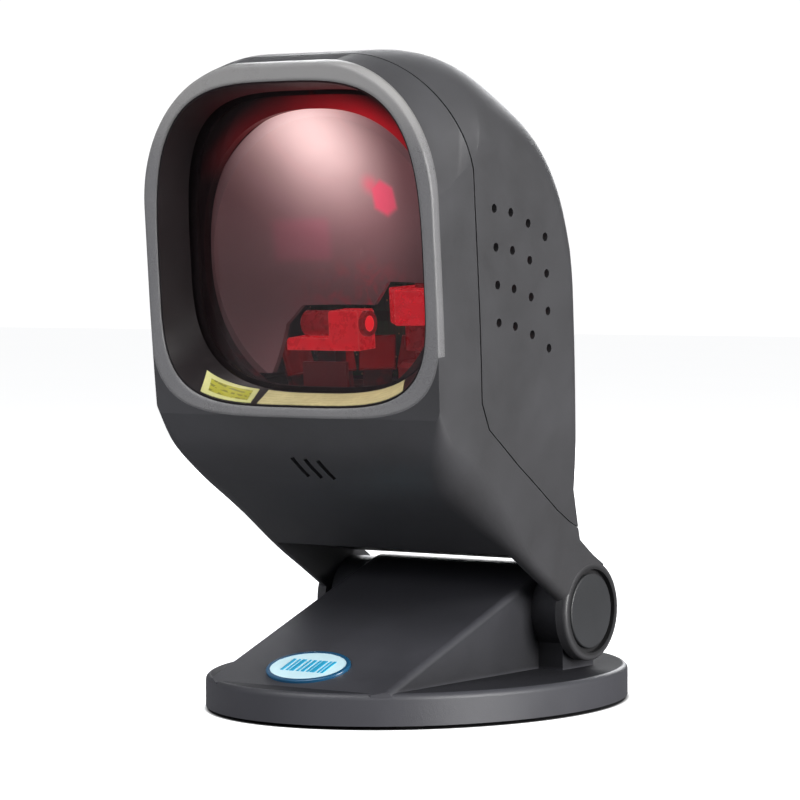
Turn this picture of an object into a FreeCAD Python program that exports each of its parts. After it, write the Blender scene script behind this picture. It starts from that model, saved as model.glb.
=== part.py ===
import FreeCAD, Part
import math
import os
from FreeCAD import Vector, Rotation, Placement

os.makedirs("parts", exist_ok=True)
doc = FreeCAD.newDocument("presentation_scanner")

# ------------------------------------------------------------------ sizes
# Two frames: the base is drawn in the world frame (origin = centre of the
# base oval on the counter, -Y front, +Z up).  Head parts are drawn in a frame
# whose X axis is the tilt hinge; HEAD places that frame, leaned forward.
sheet = doc.addObject("Spreadsheet::Sheet", "dims")
CELLS = [
    ("base_half_w", 45.0), ("base_half_d", 56.3), ("base_top", 7.9), ("base_low", 0.8),
    ("base_edge", 1.3), ("wall", 2.2), ("plate_t", 1.6), ("ballast_t", 3.2),
    ("ballast_w", 36.4), ("ballast_d", 50.0),
    ("hinge_y", 19.0), ("hinge_z", 21.3), ("lean", 4.7),
    ("ramp_half", 24.9), ("ramp_slope", 20.0), ("knuckle_r", 10.54), ("barrel_r", 9.8),
    ("barrel_half", 32.3), ("web_half", 6.6), ("bay_half", 22.0), ("bush_or", 5.5), ("pin_r", 4.0),
    ("run_gap", 0.05), ("cbore_r", 7.3), ("cbore_x", 29.3),
    ("foot_r", 5.5), ("foot_t", 1.8), ("foot_x", 22.0), ("foot_y", 38.0),
    ("screw_x", 37.4), ("screw_y", 18.0), ("base_screw_r", 1.5), ("base_head_r", 2.8),
    ("head_half_w", 39.35), ("head_waist", 35.35), ("skin", 2.4), ("ring_r", 11.6),
    ("rim_y", -63.4), ("rim_t", 2.5), ("rim_mid", 82.2), ("rim_up", 46.6),
    ("rim_in_w", 36.45), ("rim_in_mid", 82.6), ("rim_in_up", 42.95), ("rim_in_dn", 28.9),
    ("win_y", -53.8), ("win_w", 34.5), ("win_mid", 84.7), ("win_up", 38.5), ("win_dn", 28.7),
    ("glass_t", 1.5), ("gasket_t", 1.0), ("frame_t", 2.5),
    ("arm_in", 32.6), ("boss_r", 7.2), ("boss_x", 30.9), ("cap_r", 8.7), ("cap_t", 1.0),
    ("cap_well_r", 9.7), ("cap_seat", 34.2), ("flange_r", 7.5), ("flange_t", 1.4),
    ("pin_end", 15.5), ("nut_x", 17.0), ("nut_t", 3.5), ("nut_af", 13.0),
    ("vent_r", 1.0), ("slot_l", 5.0), ("slot_w", 1.2),
    ("dish_w", 31.0), ("dish_up", 32.0), ("dish_z", 85.6), ("dish_deep", 13.0), ("dish_t", 1.2),
    ("deck_z", 52.5), ("deck_t", 2.0),
    ("spin_x", 18.5), ("spin_y", -36.0), ("spin_z", 70.2), ("poly_r", 9.6), ("poly_h", 8.0),
    ("board_t", 1.6), ("dec_w", 54.0), ("dec_h", 48.0),
    ("tube_x", 32.5), ("tube_z", 60.0), ("low_x", 26.0), ("low_z", 31.0),
    ("tube_r", 3.8), ("tube_bore", 2.6), ("shell_screw_r", 1.5),
    ("badge_w", 10.6), ("badge_l", 7.6), ("badge_t", 0.7),
]
V = {}
for i, (name, value) in enumerate(CELLS, start=1):
    sheet.set("A%d" % i, name)
    sheet.set("B%d" % i, "%g" % value)
    sheet.setAlias("B%d" % i, name)
    V[name] = value
doc.recompute()

HEAD = Placement(Vector(0, V["hinge_y"], V["hinge_z"]), Rotation(Vector(1, 0, 0), V["lean"]))
WORLD = Placement()


def num(x):
    """Number for an expression made of aliases, numbers and + - * /."""
    if isinstance(x, (int, float)):
        return float(x)
    total, sign, term = 0.0, 1.0, ""
    parts, cur = [], ""
    for ch in x.replace(" ", ""):
        if ch in "+-" and cur and cur[-1] not in "*/":
            parts.append(cur)
            cur = ch
        else:
            cur += ch
    parts.append(cur)
    for p in parts:
        s = 1.0
        while p and p[0] in "+-":
            if p[0] == "-":
                s = -s
            p = p[1:]
        val, op, tok = 1.0, "*", ""
        for ch in p + "*":
            if ch in "*/":
                f = V[tok] if tok in V else float(tok)
                val = val * f if op == "*" else val / f
                op, tok = ch, ""
            else:
                tok += ch
        total += s * val
    return total


def ex(x):
    """The same expression with the sheet name put before each alias."""
    if isinstance(x, (int, float)):
        return None
    out, tok = "", ""
    for ch in x.replace(" ", "") + "#":
        if ch.isalnum() or ch in "_.":
            tok += ch
        else:
            out += ("dims." + tok) if tok in V else tok
            tok = ""
            if ch != "#":
                out += ch
    return out


# ------------------------------------------------------------ body helpers
def new_body(label, place=WORLD):
    b = doc.addObject("PartDesign::Body", label)
    b.Label = label
    b.Placement = place
    return b


def plane(b, role):
    for f in b.Origin.OriginFeatures:
        if f.Role == role:
            return f
    raise RuntimeError(role)


def sketch(b, role, off=None):
    s = b.newObject("Sketcher::SketchObject", b.Name + "_sk")
    s.AttachmentSupport = [(plane(b, role), "")]
    s.MapMode = "FlatFace"
    if off is not None:
        s.AttachmentOffset = Placement(Vector(0, 0, num(off)), Rotation())
        if not isinstance(off, (int, float)):
            s.setExpression("AttachmentOffset.Base.z", ex(off))
    return s


def fix(s, kind, args, x):
    c = s.addConstraint(__import__("Sketcher").Constraint(kind, *args, num(x)))
    e = ex(x)
    if e:
        s.renameConstraint(c, "c%d" % c)
        s.setExpression("Constraints.c%d" % c, e)


def circle(s, r, cx=0.0, cy=0.0):
    import Sketcher
    g = s.addGeometry(Part.Circle(Vector(num(cx), num(cy), 0), Vector(0, 0, 1), num(r)), False)
    fix(s, "Radius", (g,), r)
    if cx == 0.0 and cy == 0.0:
        s.addConstraint(Sketcher.Constraint("Coincident", g, 3, -1, 1))
    else:
        fix(s, "DistanceX", (-1, 1, g, 3), cx)
        fix(s, "DistanceY", (-1, 1, g, 3), cy)


def ellipse(s, rx, ry, cx=0.0, cy=0.0):
    import Sketcher
    a, b, x, y = num(rx), num(ry), num(cx), num(cy)
    if a >= b:
        g = s.addGeometry(Part.Ellipse(Vector(x + a, y, 0), Vector(x, y + b, 0), Vector(x, y, 0)), False)
    else:
        g = s.addGeometry(Part.Ellipse(Vector(x, y + b, 0), Vector(x - a, y, 0), Vector(x, y, 0)), False)
    s.exposeInternalGeometry(g)
    s.addConstraint(Sketcher.Constraint("Horizontal" if a >= b else "Vertical", g + 1))
    fix(s, "Distance", (g, 3, g + 1, 1), rx if a >= b else ry)
    fix(s, "Distance", (g, 3, g + 2, 1), ry if a >= b else rx)
    fix(s, "DistanceX", (-1, 1, g, 3), cx)
    fix(s, "DistanceY", (-1, 1, g, 3), cy)


def rect(s, w, h, cx=0.0, cy=0.0):
    import Sketcher
    W, H, X, Y = num(w), num(h), num(cx), num(cy)
    p = [Vector(X - W / 2, Y - H / 2, 0), Vector(X + W / 2, Y - H / 2, 0),
         Vector(X + W / 2, Y + H / 2, 0), Vector(X - W / 2, Y + H / 2, 0)]
    g = [s.addGeometry(Part.LineSegment(p[i], p[(i + 1) % 4]), False) for i in range(4)]
    C = Sketcher.Constraint
    for i in range(4):
        s.addConstraint(C("Coincident", g[i], 2, g[(i + 1) % 4], 1))
    s.addConstraint(C("Horizontal", g[0])); s.addConstraint(C("Horizontal", g[2]))
    s.addConstraint(C("Vertical", g[1])); s.addConstraint(C("Vertical", g[3]))
    fix(s, "DistanceX", (g[0], 1, g[0], 2), w)
    fix(s, "DistanceY", (g[1], 1, g[1], 2), h)
    l = X - W / 2 if isinstance(w, (int, float)) and isinstance(cx, (int, float)) else "%s-%s/2" % (cx, w)
    b = Y - H / 2 if isinstance(h, (int, float)) and isinstance(cy, (int, float)) else "%s-%s/2" % (cy, h)
    fix(s, "DistanceX", (-1, 1, g[0], 1), l)
    fix(s, "DistanceY", (-1, 1, g[0], 1), b)


def poly(s, pts):
    import Sketcher
    q = [Vector(num(a), num(b), 0) for a, b in pts]
    n = len(q)
    g = [s.addGeometry(Part.LineSegment(q[i], q[(i + 1) % n]), False) for i in range(n)]
    for i in range(n):
        s.addConstraint(Sketcher.Constraint("Coincident", g[i], 2, g[(i + 1) % n], 1))
    for i in range(n):
        fix(s, "DistanceX", (-1, 1, g[i], 1), pts[i][0])
        fix(s, "DistanceY", (-1, 1, g[i], 1), pts[i][1])


def pad(b, s, length, both=False, rev=False):
    f = b.newObject("PartDesign::Pad", b.Name + "_pad")
    f.Profile = s
    f.Length = num(length)
    if ex(length):
        f.setExpression("Length", ex(length))
    f.SideType = "Symmetric" if both else "One side"
    f.Reversed = rev
    s.Visibility = False
    doc.recompute()
    return f


def pocket(b, s, length, both=False, rev=False, through=False):
    f = b.newObject("PartDesign::Pocket", b.Name + "_cut")
    f.Profile = s
    f.Length = num(length)
    if ex(length):
        f.setExpression("Length", ex(length))
    if through:
        f.Type = 1
    f.SideType = "Symmetric" if both else "One side"
    f.Reversed = rev
    before = b.Shape.Volume if not b.Shape.isNull() else 0
    doc.recompute()
    if f.Shape.isNull() or not f.Shape.Volume < before - 1e-6:
        raise RuntimeError("pocket cut nothing in %s %s %s before %.1f after %.1f" % (b.Label, f.Name, f.State, before, -1 if f.Shape.isNull() else f.Shape.Volume))
    return f


def revolve(b, s, angle=360.0, axis="V_Axis", groove=False):
    f = b.newObject("PartDesign::Groove" if groove else "PartDesign::Revolution", b.Name + "_rev")
    f.Profile = s
    f.ReferenceAxis = (s, [axis])
    f.Angle = angle
    doc.recompute()
    return f


def edges_of(shape, test):
    return ["Edge%d" % i for i, e in enumerate(shape.Edges, 1) if test(e)]


def fillet(b, r, test, chamfer=False):
    base = b.Tip
    names = edges_of(base.Shape, test)
    if not names:
        raise RuntimeError("no edges for fillet in " + b.Label)
    f = b.newObject("PartDesign::Chamfer" if chamfer else "PartDesign::Fillet", b.Name + "_edge")
    f.Base = (base, names)
    if chamfer:
        f.Size = num(r)
        if ex(r):
            f.setExpression("Size", ex(r))
    else:
        f.Radius = num(r)
        if ex(r):
            f.setExpression("Radius", ex(r))
    doc.recompute()
    if "Invalid" in f.State or f.Shape.isNull() or not f.Shape.isValid():
        raise RuntimeError("edge feature failed in " + b.Label)
    return f


def bb(e):
    return e.BoundBox


def flat(v0, v1, t=1e-4):
    return abs(v0 - v1) < t


def feature(label, shape, place=WORLD):
    o = doc.addObject("Part::Feature", label)
    o.Label = label
    o.Shape = shape
    o.Placement = place
    return o


def tidy(s):
    s = s.removeSplitter()
    if s.ShapeType == "Compound" and len(s.Solids) == 1:
        return s.Solids[0]
    return s


def xcyl(x0, x1, r, y=0.0, z=0.0):
    return Part.makeCylinder(r, abs(x1 - x0), Vector(min(x0, x1), y, z), Vector(1, 0, 0))


def ycyl(y0, y1, r, x=0.0, z=0.0):
    return Part.makeCylinder(r, abs(y1 - y0), Vector(x, min(y0, y1), z), Vector(0, 1, 0))


def zcyl(z0, z1, r, x=0.0, y=0.0):
    return Part.makeCylinder(r, abs(z1 - z0), Vector(x, y, min(z0, z1)), Vector(0, 0, 1))


def box(x0, x1, y0, y1, z0, z1):
    return Part.makeBox(x1 - x0, y1 - y0, z1 - z0, Vector(x0, y0, z0))


def yz_prism(pts, x0, x1):
    w = Part.makePolygon([Vector(x0, y, z) for y, z in pts + pts[:1]])
    return Part.Face(w).extrude(Vector(x1 - x0, 0, 0))


# ================================================================= base
hy, hz = V["hinge_y"], V["hinge_z"]
sl = math.radians(V["ramp_slope"])
kr = V["knuckle_r"]
ty, tz = hy - kr * math.sin(sl), hz + kr * math.cos(sl)

b = new_body("base_cover")
import Sketcher
C = Sketcher.Constraint
# oval disc with its top edge rounded, in a tool body of its own
tool = new_body("base_disc_tool")
s = sketch(tool, "XY_Plane", "base_low")
ellipse(s, "base_half_w", "base_half_d")
pad(tool, s, "base_top-base_low")
fillet(tool, "base_edge", lambda e: flat(bb(e).ZMax, V["base_top"]) and bb(e).ZLength < 1e-3)
# ramp: side profile padded both ways
s = sketch(b, "YZ_Plane")
y0r = -49.5
z0r = tz - (ty - y0r) * math.tan(sl)
pts = [Vector(y0r, 5.0, 0), Vector(y0r, z0r, 0), Vector(ty, tz, 0)]
g0 = s.addGeometry(Part.LineSegment(pts[0], pts[1]), False)
g1 = s.addGeometry(Part.LineSegment(pts[1], pts[2]), False)
arc = Part.Arc(Vector(ty, tz, 0), Vector(hy + kr * math.cos(math.radians(50)), hz + kr * math.sin(math.radians(50)), 0), Vector(hy + kr, hz, 0))
g2 = s.addGeometry(arc, False)
g3 = s.addGeometry(Part.LineSegment(Vector(hy + kr, hz, 0), Vector(hy + kr, 5.0, 0)), False)
g4 = s.addGeometry(Part.LineSegment(Vector(hy + kr, 5.0, 0), pts[0]), False)
# arc ends: a sketch arc runs anticlockwise, so its start is the rear end
s.addConstraint(C("Coincident", g0, 2, g1, 1))
s.addConstraint(C("Tangent", g1, 2, g2, 2))
s.addConstraint(C("Tangent", g3, 1, g2, 1))
s.addConstraint(C("Coincident", g3, 2, g4, 1))
s.addConstraint(C("Coincident", g4, 2, g0, 1))
s.addConstraint(C("Vertical", g0)); s.addConstraint(C("Vertical", g3)); s.addConstraint(C("Horizontal", g4))
fix(s, "Radius", (g2,), "knuckle_r")
fix(s, "DistanceX", (-1, 1, g2, 3), "hinge_y")
fix(s, "DistanceY", (-1, 1, g2, 3), "hinge_z")
fix(s, "DistanceX", (-1, 1, g0, 1), y0r)
fix(s, "DistanceY", (-1, 1, g0, 1), 5.0)
c = s.addConstraint(C("Angle", -1, 1, g1, 1, sl))
s.renameConstraint(c, "slope"); s.setExpression("Constraints.slope", "dims.ramp_slope * 1 deg")
pad(b, s, "2*ramp_half", both=True)
fillet(b, 1.4, lambda e: (bb(e).XLength < 1e-3) and abs(abs(bb(e).XMin) - V["ramp_half"]) < 1e-3
       and bb(e).ZMax > 10 and bb(e).ZMin > 7.4 and bb(e).ZLength > 8)
# trim what stands outside the oval
s = sketch(b, "XY_Plane", 0.0)
rect(s, 160.0, 160.0)
ellipse(s, "base_half_w-0.06", "base_half_d-0.06")
pocket(b, s, 60.0, rev=True)
f = b.newObject("PartDesign::Boolean", "base_join")
f.setObjects([tool])
f.Type = 0
doc.recompute()
# hinge barrel on a narrower foot
s = sketch(b, "YZ_Plane")
circle(s, "barrel_r", "hinge_y", "hinge_z")
pad(b, s, "2*barrel_half", both=True)
s = sketch(b, "YZ_Plane")
poly(s, [(hy - V["web_half"], 5.0), (hy + V["web_half"], 5.0), (hy + V["web_half"], hz - 4.0), (hy - V["web_half"], hz - 4.0)])
pad(b, s, "2*barrel_half-1.6", both=True)
# hollow: plate rebate, ballast pocket, hinge bay, bearing bores
s = sketch(b, "XY_Plane", "base_low")
ellipse(s, "base_half_w-1.6", "base_half_d-1.6")
pocket(b, s, "plate_t", rev=True)
s = sketch(b, "XY_Plane", "base_low+plate_t")
ellipse(s, "ballast_w+0.6", "ballast_d+0.6")
pocket(b, s, 3.5, rev=True)
s = sketch(b, "YZ_Plane")
iy = hy - (kr - 2.4) * math.sin(sl)
iz = hz + (kr - 2.4) * math.cos(sl)
bay = [(round(hy + (kr - 2.4) * math.cos(math.radians(g)), 4), round(hz + (kr - 2.4) * math.sin(math.radians(g)), 4)) for g in (95, 80, 65, 50, 35, 20, 5)]
poly(s, [(-34.0, 4.0), (-34.0, round(iz - (iy + 34.0) * math.tan(sl), 4)), (round(iy, 4), round(iz, 4))] + bay + [(round(hy + kr - 2.4, 4), 4.0)])
pocket(b, s, "2*bay_half", both=True)
s = sketch(b, "YZ_Plane")
circle(s, "bush_or", "hinge_y", "hinge_z")
pocket(b, s, 80.0, both=True)
for sgn in (1, -1):
    s = sketch(b, "YZ_Plane", "cbore_x" if sgn > 0 else "-cbore_x")
    circle(s, "cbore_r", "hinge_y", "hinge_z")
    pocket(b, s, 5.0, rev=(sgn > 0))
# screw pilots
s = sketch(b, "XY_Plane", "base_low")
for sx in (1, -1):
    for sy in (1, -1):
        circle(s, "base_screw_r", "screw_x" if sx > 0 else "-screw_x", "screw_y" if sy > 0 else "-screw_y")
pocket(b, s, 5.6, rev=True)

b = new_body("base_plate")
s = sketch(b, "XY_Plane", "base_low")
ellipse(s, "base_half_w-1.7", "base_half_d-1.7")
pad(b, s, "plate_t")
s = sketch(b, "XY_Plane", "base_low")
for sx in (1, -1):
    for sy in (1, -1):
        circle(s, "foot_r+0.1", "foot_x" if sx > 0 else "-foot_x", "foot_y" if sy > 0 else "-foot_y")
pocket(b, s, "foot_t-base_low", rev=True)
s = sketch(b, "XY_Plane", "base_low")
for sx in (1, -1):
    for sy in (1, -1):
        circle(s, "base_head_r+0.2", "screw_x" if sx > 0 else "-screw_x", "screw_y" if sy > 0 else "-screw_y")
pocket(b, s, 1.1, rev=True)
s = sketch(b, "XY_Plane", "base_low")
for sx in (1, -1):
    for sy in (1, -1):
        circle(s, "base_screw_r+0.1", "screw_x" if sx > 0 else "-screw_x", "screw_y" if sy > 0 else "-screw_y")
pocket(b, s, 4.0, rev=True)

b = new_body("ballast_plate")
s = sketch(b, "XY_Plane", "base_low+plate_t")
ellipse(s, "ballast_w", "ballast_d")
circle(s, 6.0, 0.0, -20.0)
pad(b, s, "ballast_t")
fillet(b, 0.5, lambda e: flat(bb(e).ZMax, V["base_low"] + V["plate_t"] + V["ballast_t"]) and bb(e).ZLength < 1e-3)

# four pressed rubber feet, one node
b = new_body("foot_master")
s = sketch(b, "XY_Plane")
circle(s, "foot_r")
pad(b, s, "foot_t")
fillet(b, 0.5, lambda e: flat(bb(e).ZMax, 0.0))
foot = b
feet = []
for sx in (1, -1):
    for sy in (1, -1):
        c = foot.Shape.copy()
        c.translate(Vector(sx * V["foot_x"], sy * V["foot_y"], 0))
        feet.append(c)
feature("rubber_feet", Part.makeCompound(feet))


def pan_screw(r_head, h_head, r, length, slot=True):
    """Pan-head screw along +Z, head underside at z = 0, head below."""
    head = Part.makeCylinder(r_head, h_head, Vector(0, 0, -h_head))
    edges = [e for e in head.Edges if flat(bb(e).ZMax, -h_head) and bb(e).XLength > r_head]
    head = head.makeFillet(h_head * 0.45, edges)
    s = head.fuse(Part.makeCylinder(r, length))
    tip = [e for e in s.Edges if flat(bb(e).ZMin, length) and bb(e).XLength > r]
    s = s.makeChamfer(r * 0.3, tip)
    if slot:
        k = r_head * 0.75
        s = s.cut(box(-k, k, -0.25, 0.25, -h_head - 1, -h_head * 0.45)).cut(box(-0.25, 0.25, -k, k, -h_head - 1, -h_head * 0.45))
    return tidy(s)


def placed(shape, pos, rot=Rotation()):
    c = shape.copy()
    c.Placement = Placement(Vector(*pos), rot)
    return c


UP = Rotation()
TO_FRONT = Rotation(Vector(1, 0, 0), 90)      # local +Z to -Y
TO_REAR = Rotation(Vector(1, 0, 0), -90)      # local +Z to +Y

scr = pan_screw(V["base_head_r"], 1.0, V["base_screw_r"], 4.4)
feature("base_screws", Part.makeCompound([placed(scr, (sx * V["screw_x"], sy * V["screw_y"], V["base_low"] + 1.1))
                                          for sx in (1, -1) for sy in (1, -1)]))

# badge on the ramp, blank oval with plain bars
badge_y = -40.0
badge_z = tz - (ty - badge_y) * math.tan(sl)
BADGE = Placement(Vector(-2.5, badge_y, badge_z), Rotation(Vector(1, 0, 0), V["ramp_slope"]))
b = new_body("badge_rim", BADGE)
s = sketch(b, "XY_Plane")
ellipse(s, "badge_w", "badge_l")
pad(b, s, "badge_t")
fillet(b, 0.3, lambda e: flat(bb(e).ZMax, V["badge_t"]) and bb(e).ZLength < 1e-3)
s = sketch(b, "XY_Plane", "badge_t")
ellipse(s, "badge_w-1.0", "badge_l-1.0")
pocket(b, s, 0.3)
b = new_body("badge_face", BADGE)
s = sketch(b, "XY_Plane", "badge_t-0.3")
ellipse(s, "badge_w-1.0", "badge_l-1.0")
pad(b, s, 0.2)
b = new_body("badge_bars", BADGE)
s = sketch(b, "XY_Plane", "badge_t-0.1")
for cx, w in ((-5.4, 0.8), (-4.0, 0.5), (-2.7, 1.1), (-1.0, 0.5), (0.3, 0.8), (1.7, 0.5), (3.0, 1.3), (4.6, 0.5), (5.7, 0.7)):
    rect(s, w, 5.6, cx, 0.0)
pad(b, s, 0.15)

# bearing bushes, friction washers (ride with the base)
solids = []
for sgn in (1, -1):
    a0, a1 = sgn * V["bay_half"], sgn * V["cbore_x"]
    solids.append(tidy(xcyl(a0, a1, V["bush_or"], hy, hz).cut(xcyl(a0 - 1 * sgn, a1 + 1 * sgn, V["pin_r"] + V["run_gap"], hy, hz))))
feature("hinge_bushes", Part.makeCompound(solids))
solids = []
for sgn in (1, -1):
    a0, a1 = sgn * V["cbore_x"], sgn * (V["boss_x"] - 0.1)
    solids.append(tidy(xcyl(a0, a1, V["cbore_r"] - 0.1, hy, hz).cut(xcyl(a0 - 1 * sgn, a1 + 1 * sgn, V["pin_r"] + 0.3, hy, hz))))
feature("friction_washers", Part.makeCompound(solids))

# ================================================================= head
W = V["head_half_w"]
ROOF = [(-63.4, 129.2), (-56, 130.7), (-47, 131.4), (-39, 130.4), (-33, 127.8), (-26, 122.8), (-18.6, 116.6),
        (-13.4, 110.5), (-9.5, 102.9), (-7.1, 94.6), (-5.9, 86.5), (-5.6, 78.0)]
CHIN = [(-63.4, 51.7), (-61.4, 44.2), (-56.3, 36.9), (-48.2, 30.3), (-40, 24.75), (-31.7, 18.75), (-23, 12.5)]
BACK = -5.6
DIAG = math.radians(35.5)


def half_width(z):
    if z >= V["rim_mid"]:
        return W
    if z >= 40.0:
        return W - 5.7 * ((V["rim_mid"] - z) / 98.5) ** 2
    if z <= 9.0:
        return V["head_waist"]
    t = (z - 9.0) / 31.0
    w1, m1 = W - 5.7 * ((V["rim_mid"] - 40.0) / 98.5) ** 2, 31.0 * 5.7 * 2 * (V["rim_mid"] - 40.0) / 98.5 ** 2
    return V["head_waist"] * (2 * t ** 3 - 3 * t ** 2 + 1) + w1 * (3 * t ** 2 - 2 * t ** 3) + m1 * (t ** 3 - t ** 2)


def shift(pts, d, side):
    """Offset a polyline along its normals (side +1: to the right of travel)."""
    out = []
    for i in range(len(pts)):
        a = pts[max(i - 1, 0)]
        c = pts[min(i + 1, len(pts) - 1)]
        dy, dz = c[0] - a[0], c[1] - a[1]
        n = math.hypot(dy, dz)
        out.append((pts[i][0] + side * dz / n * d, pts[i][1] - side * dy / n * d))
    return out


def spline(pts, x, t0, t1):
    sp = Part.BSplineCurve()
    sp.interpolate(Points=[Vector(x, y, z) for y, z in pts], InitialTangent=t0, FinalTangent=t1)
    return sp.toShape()


def floor_z(y):
    """Underside of the chin between the arms."""
    return 17.2 + 0.131 * (y + 30.2)


def side_solid(off):
    """Side profile of the whole head (arms included), padded across X."""
    x = -60.0
    roof = shift(ROOF, off, 1)
    roof[0] = (ROOF[0][0] + off, ROOF[0][1] + 0.27 * off - off)
    roof[-1] = (BACK - off, 78.0)
    chin = shift(CHIN, off, -1)
    chin[0] = (CHIN[0][0] + off, CHIN[0][1])
    if off == 0.0:
        chin[-1] = CHIN[-1]
    else:
        ya, za = CHIN[-2][0] + off * math.sin(DIAG), CHIN[-2][1] + off * math.cos(DIAG)
        k = (za - floor_z(ya) - off) / (math.sin(DIAG) + 0.131 * math.cos(DIAG))
        chin = chin[:-2] + [(ya, za), (ya + k * math.cos(DIAG), za - k * math.sin(DIAG))]
    mid = Vector(0, 6.3, -6.9)
    end = Vector(0, 8 * math.cos(DIAG), -8 * math.sin(DIAG))
    e = [spline(roof, x, Vector(0, 8, 2.2), Vector(0, 0, -8)), spline(chin[:3], x, Vector(0, 2.0, -8), mid), spline(chin[2:], x, mid, end)]
    c1 = chin[-1]
    if off == 0.0:
        k = 15.2
        c2 = (c1[0] + k * math.cos(DIAG), c1[1] - k * math.sin(DIAG))
        rest = [roof[-1], (BACK, 20.2), (-4.6, 17.3), (1.3, 12.9), (5.8, 10.05), (1.0, 0.5), c2, c1]
    else:
        rest = [roof[-1], (BACK - off, floor_z(BACK - off) + off), c1]
    for a, c in zip(rest[:-1], rest[1:]):
        e.append(Part.makeLine(Vector(x, *a), Vector(x, *c)))
    e.append(Part.makeLine(Vector(x, *chin[0]), Vector(x, *roof[0])))
    w = Part.Wire(Part.__sortEdges__(e))
    return Part.Face(w).extrude(Vector(120, 0, 0))


def front_solid(off):
    zs = [9.0, 14.0, 20.0, 26.0, 33.0, 40.0, 50.0, 60.0, 71.0, V["rim_mid"]]
    top, low = 140.0, -20.0
    e, ends = [], []
    for sgn in (1, -1):
        p = [Vector(sgn * (half_width(z) - off), -80, z) for z in zs]
        sp = Part.BSplineCurve()
        sp.interpolate(Points=p, InitialTangent=Vector(0, 0, 10), FinalTangent=Vector(0, 0, 10))
        e.append(sp.toShape())
        a = Vector(p[0].x, -80, low)
        c = Vector(p[-1].x, -80, top)
        e += [Part.makeLine(a, p[0]), Part.makeLine(p[-1], c)]
        ends.append((a, c))
    e += [Part.makeLine(ends[0][0], ends[1][0]), Part.makeLine(ends[0][1], ends[1][1])]
    w = Part.Wire(Part.__sortEdges__(e))
    return Part.Face(w).extrude(Vector(0, 100, 0))


def round_edges(s, spec):
    tmp = doc.addObject("Part::Feature", "tmp_form")
    tmp.Shape = s
    fl = doc.addObject("Part::Fillet", "tmp_fillet")
    fl.Base = tmp
    fl.Edges = spec
    doc.recompute()
    out = fl.Shape.copy()
    ok = (not out.isNull()) and out.isValid() and len(out.Solids) == 1
    doc.removeObject(fl.Name)
    doc.removeObject(tmp.Name)
    return out.Solids[0] if ok else None


def long_edges(s, off, which, a, c):
    spec = []
    for i, ed in enumerate(s.Edges, 1):
        q = bb(ed)
        if q.XMin * q.XMax < 0 or abs(q.XMin) < 30:
            continue
        first = ed.valueAt(ed.FirstParameter).y < ed.valueAt(ed.LastParameter).y
        if which == "roof" and q.YLength > 45 and q.ZMax > 120:
            spec.append((i, a, c) if first else (i, c, a))
        elif which == "chin" and q.ZMax < 60 and q.YLength > 5 and q.ZLength > 12 and q.YMin < -58:
            spec.append((i, 1.2, a) if first else (i, a, 1.2))
        elif which == "chin" and q.ZMax < 45 and q.YLength > 20 and q.ZLength > 10 and q.YMin < -45:
            spec.append((i, a, c) if first else (i, c, a))
        elif which == "chin" and off == 0.0 and q.ZMax < 13 and q.YMax < -5 and q.YMin < -20:
            spec.append((i, c, c))
    return spec


def form(off, choices):
    """Head volume set in by off, long edges rounded with a changing radius."""
    s = tidy(side_solid(off).common(front_solid(off)))
    for r_front, r_rear, c_front, c_rear in choices:
        roof = long_edges(s, off, "roof", r_front, r_rear)
        chin = long_edges(s, off, "chin", c_front, c_rear)
        out = round_edges(s, roof + chin)
        if out is None:
            half = round_edges(s, chin)
            if half is not None:
                out = round_edges(half, long_edges(half, off, "roof", r_front, r_rear))
        if out is None:
            half = round_edges(s, roof)
            if half is not None:
                out = round_edges(half, long_edges(half, off, "chin", c_front, c_rear))
        if out is not None:
            return out
    raise RuntimeError("form %g" % off)


F0 = form(0.0, [(28.6, 4.5, 8.0, 2.4), (28.0, 4.5, 8.0, 2.4), (27.0, 4.5, 8.0, 2.4), (27.0, 4.5, 6.0, 2.4), (27.0, 4.5, 4.0, 2.4), (27.0, 4.5, 2.4, 2.4)])
F1 = form(1.2, [(25.8, 3.6, 6.0, 2.0), (25.8, 3.6, 4.0, 2.0), (24.0, 4.0, 3.0, 2.0), (22.0, 5.0, 3.0, 2.0)])
F2 = form(V["skin"], [(25.0, 3.0, 5.0, 2.0), (24.6, 3.0, 5.0, 2.0), (24.0, 3.0, 5.0, 2.0), (24.0, 3.0, 3.0, 2.0), (24.0, 3.0, 2.0, 2.0), (23.0, 3.0, 3.0, 2.0), (22.0, 3.0, 3.0, 2.0), (24.0, 4.0, 3.0, 2.0)])

# arms, hinge rings and the opening under the chin
ring = xcyl(-V["head_waist"] - 0.08, V["head_waist"] + 0.08, V["ring_r"])
ring = ring.makeFillet(0.9, [e for e in ring.Edges if bb(e).XLength < 1e-3 and bb(e).YLength > 1])
under = yz_prism([(-30.2, floor_z(-30.2)), (-13.5, floor_z(-13.5)), (-12.3, 14.2), (1.0, 11.05), (1.0, 19.0), (14.0, 19.0),
                  (14.0, -14.0), (-30.2, -14.0)], -V["arm_in"], V["arm_in"])
solid_head = tidy(F0.fuse(ring).cut(under))
try:
    lip = [e for e in solid_head.Edges if flat(bb(e).YMin, -30.2, 2e-2) and bb(e).YLength < 1e-2 and bb(e).XLength > 55]
    t = solid_head.makeFillet(0.8, lip)
    if lip and t.isValid() and len(t.Solids) == 1:
        solid_head = tidy(t)
except Exception:
    pass

# parting curve between front and rear shells, side view
SEAM = [(-58.0, 141.0), (-55.0, 131.2), (-50.7, 116.5), (-47.2, 104.7), (-47.2, 53.7), (-44.5, 47.5), (-32.8, 38.1), (-15.5, 25.7), (-9.8, 22.2), (-5.6, 20.2), (2.0, 17.2)]


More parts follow.
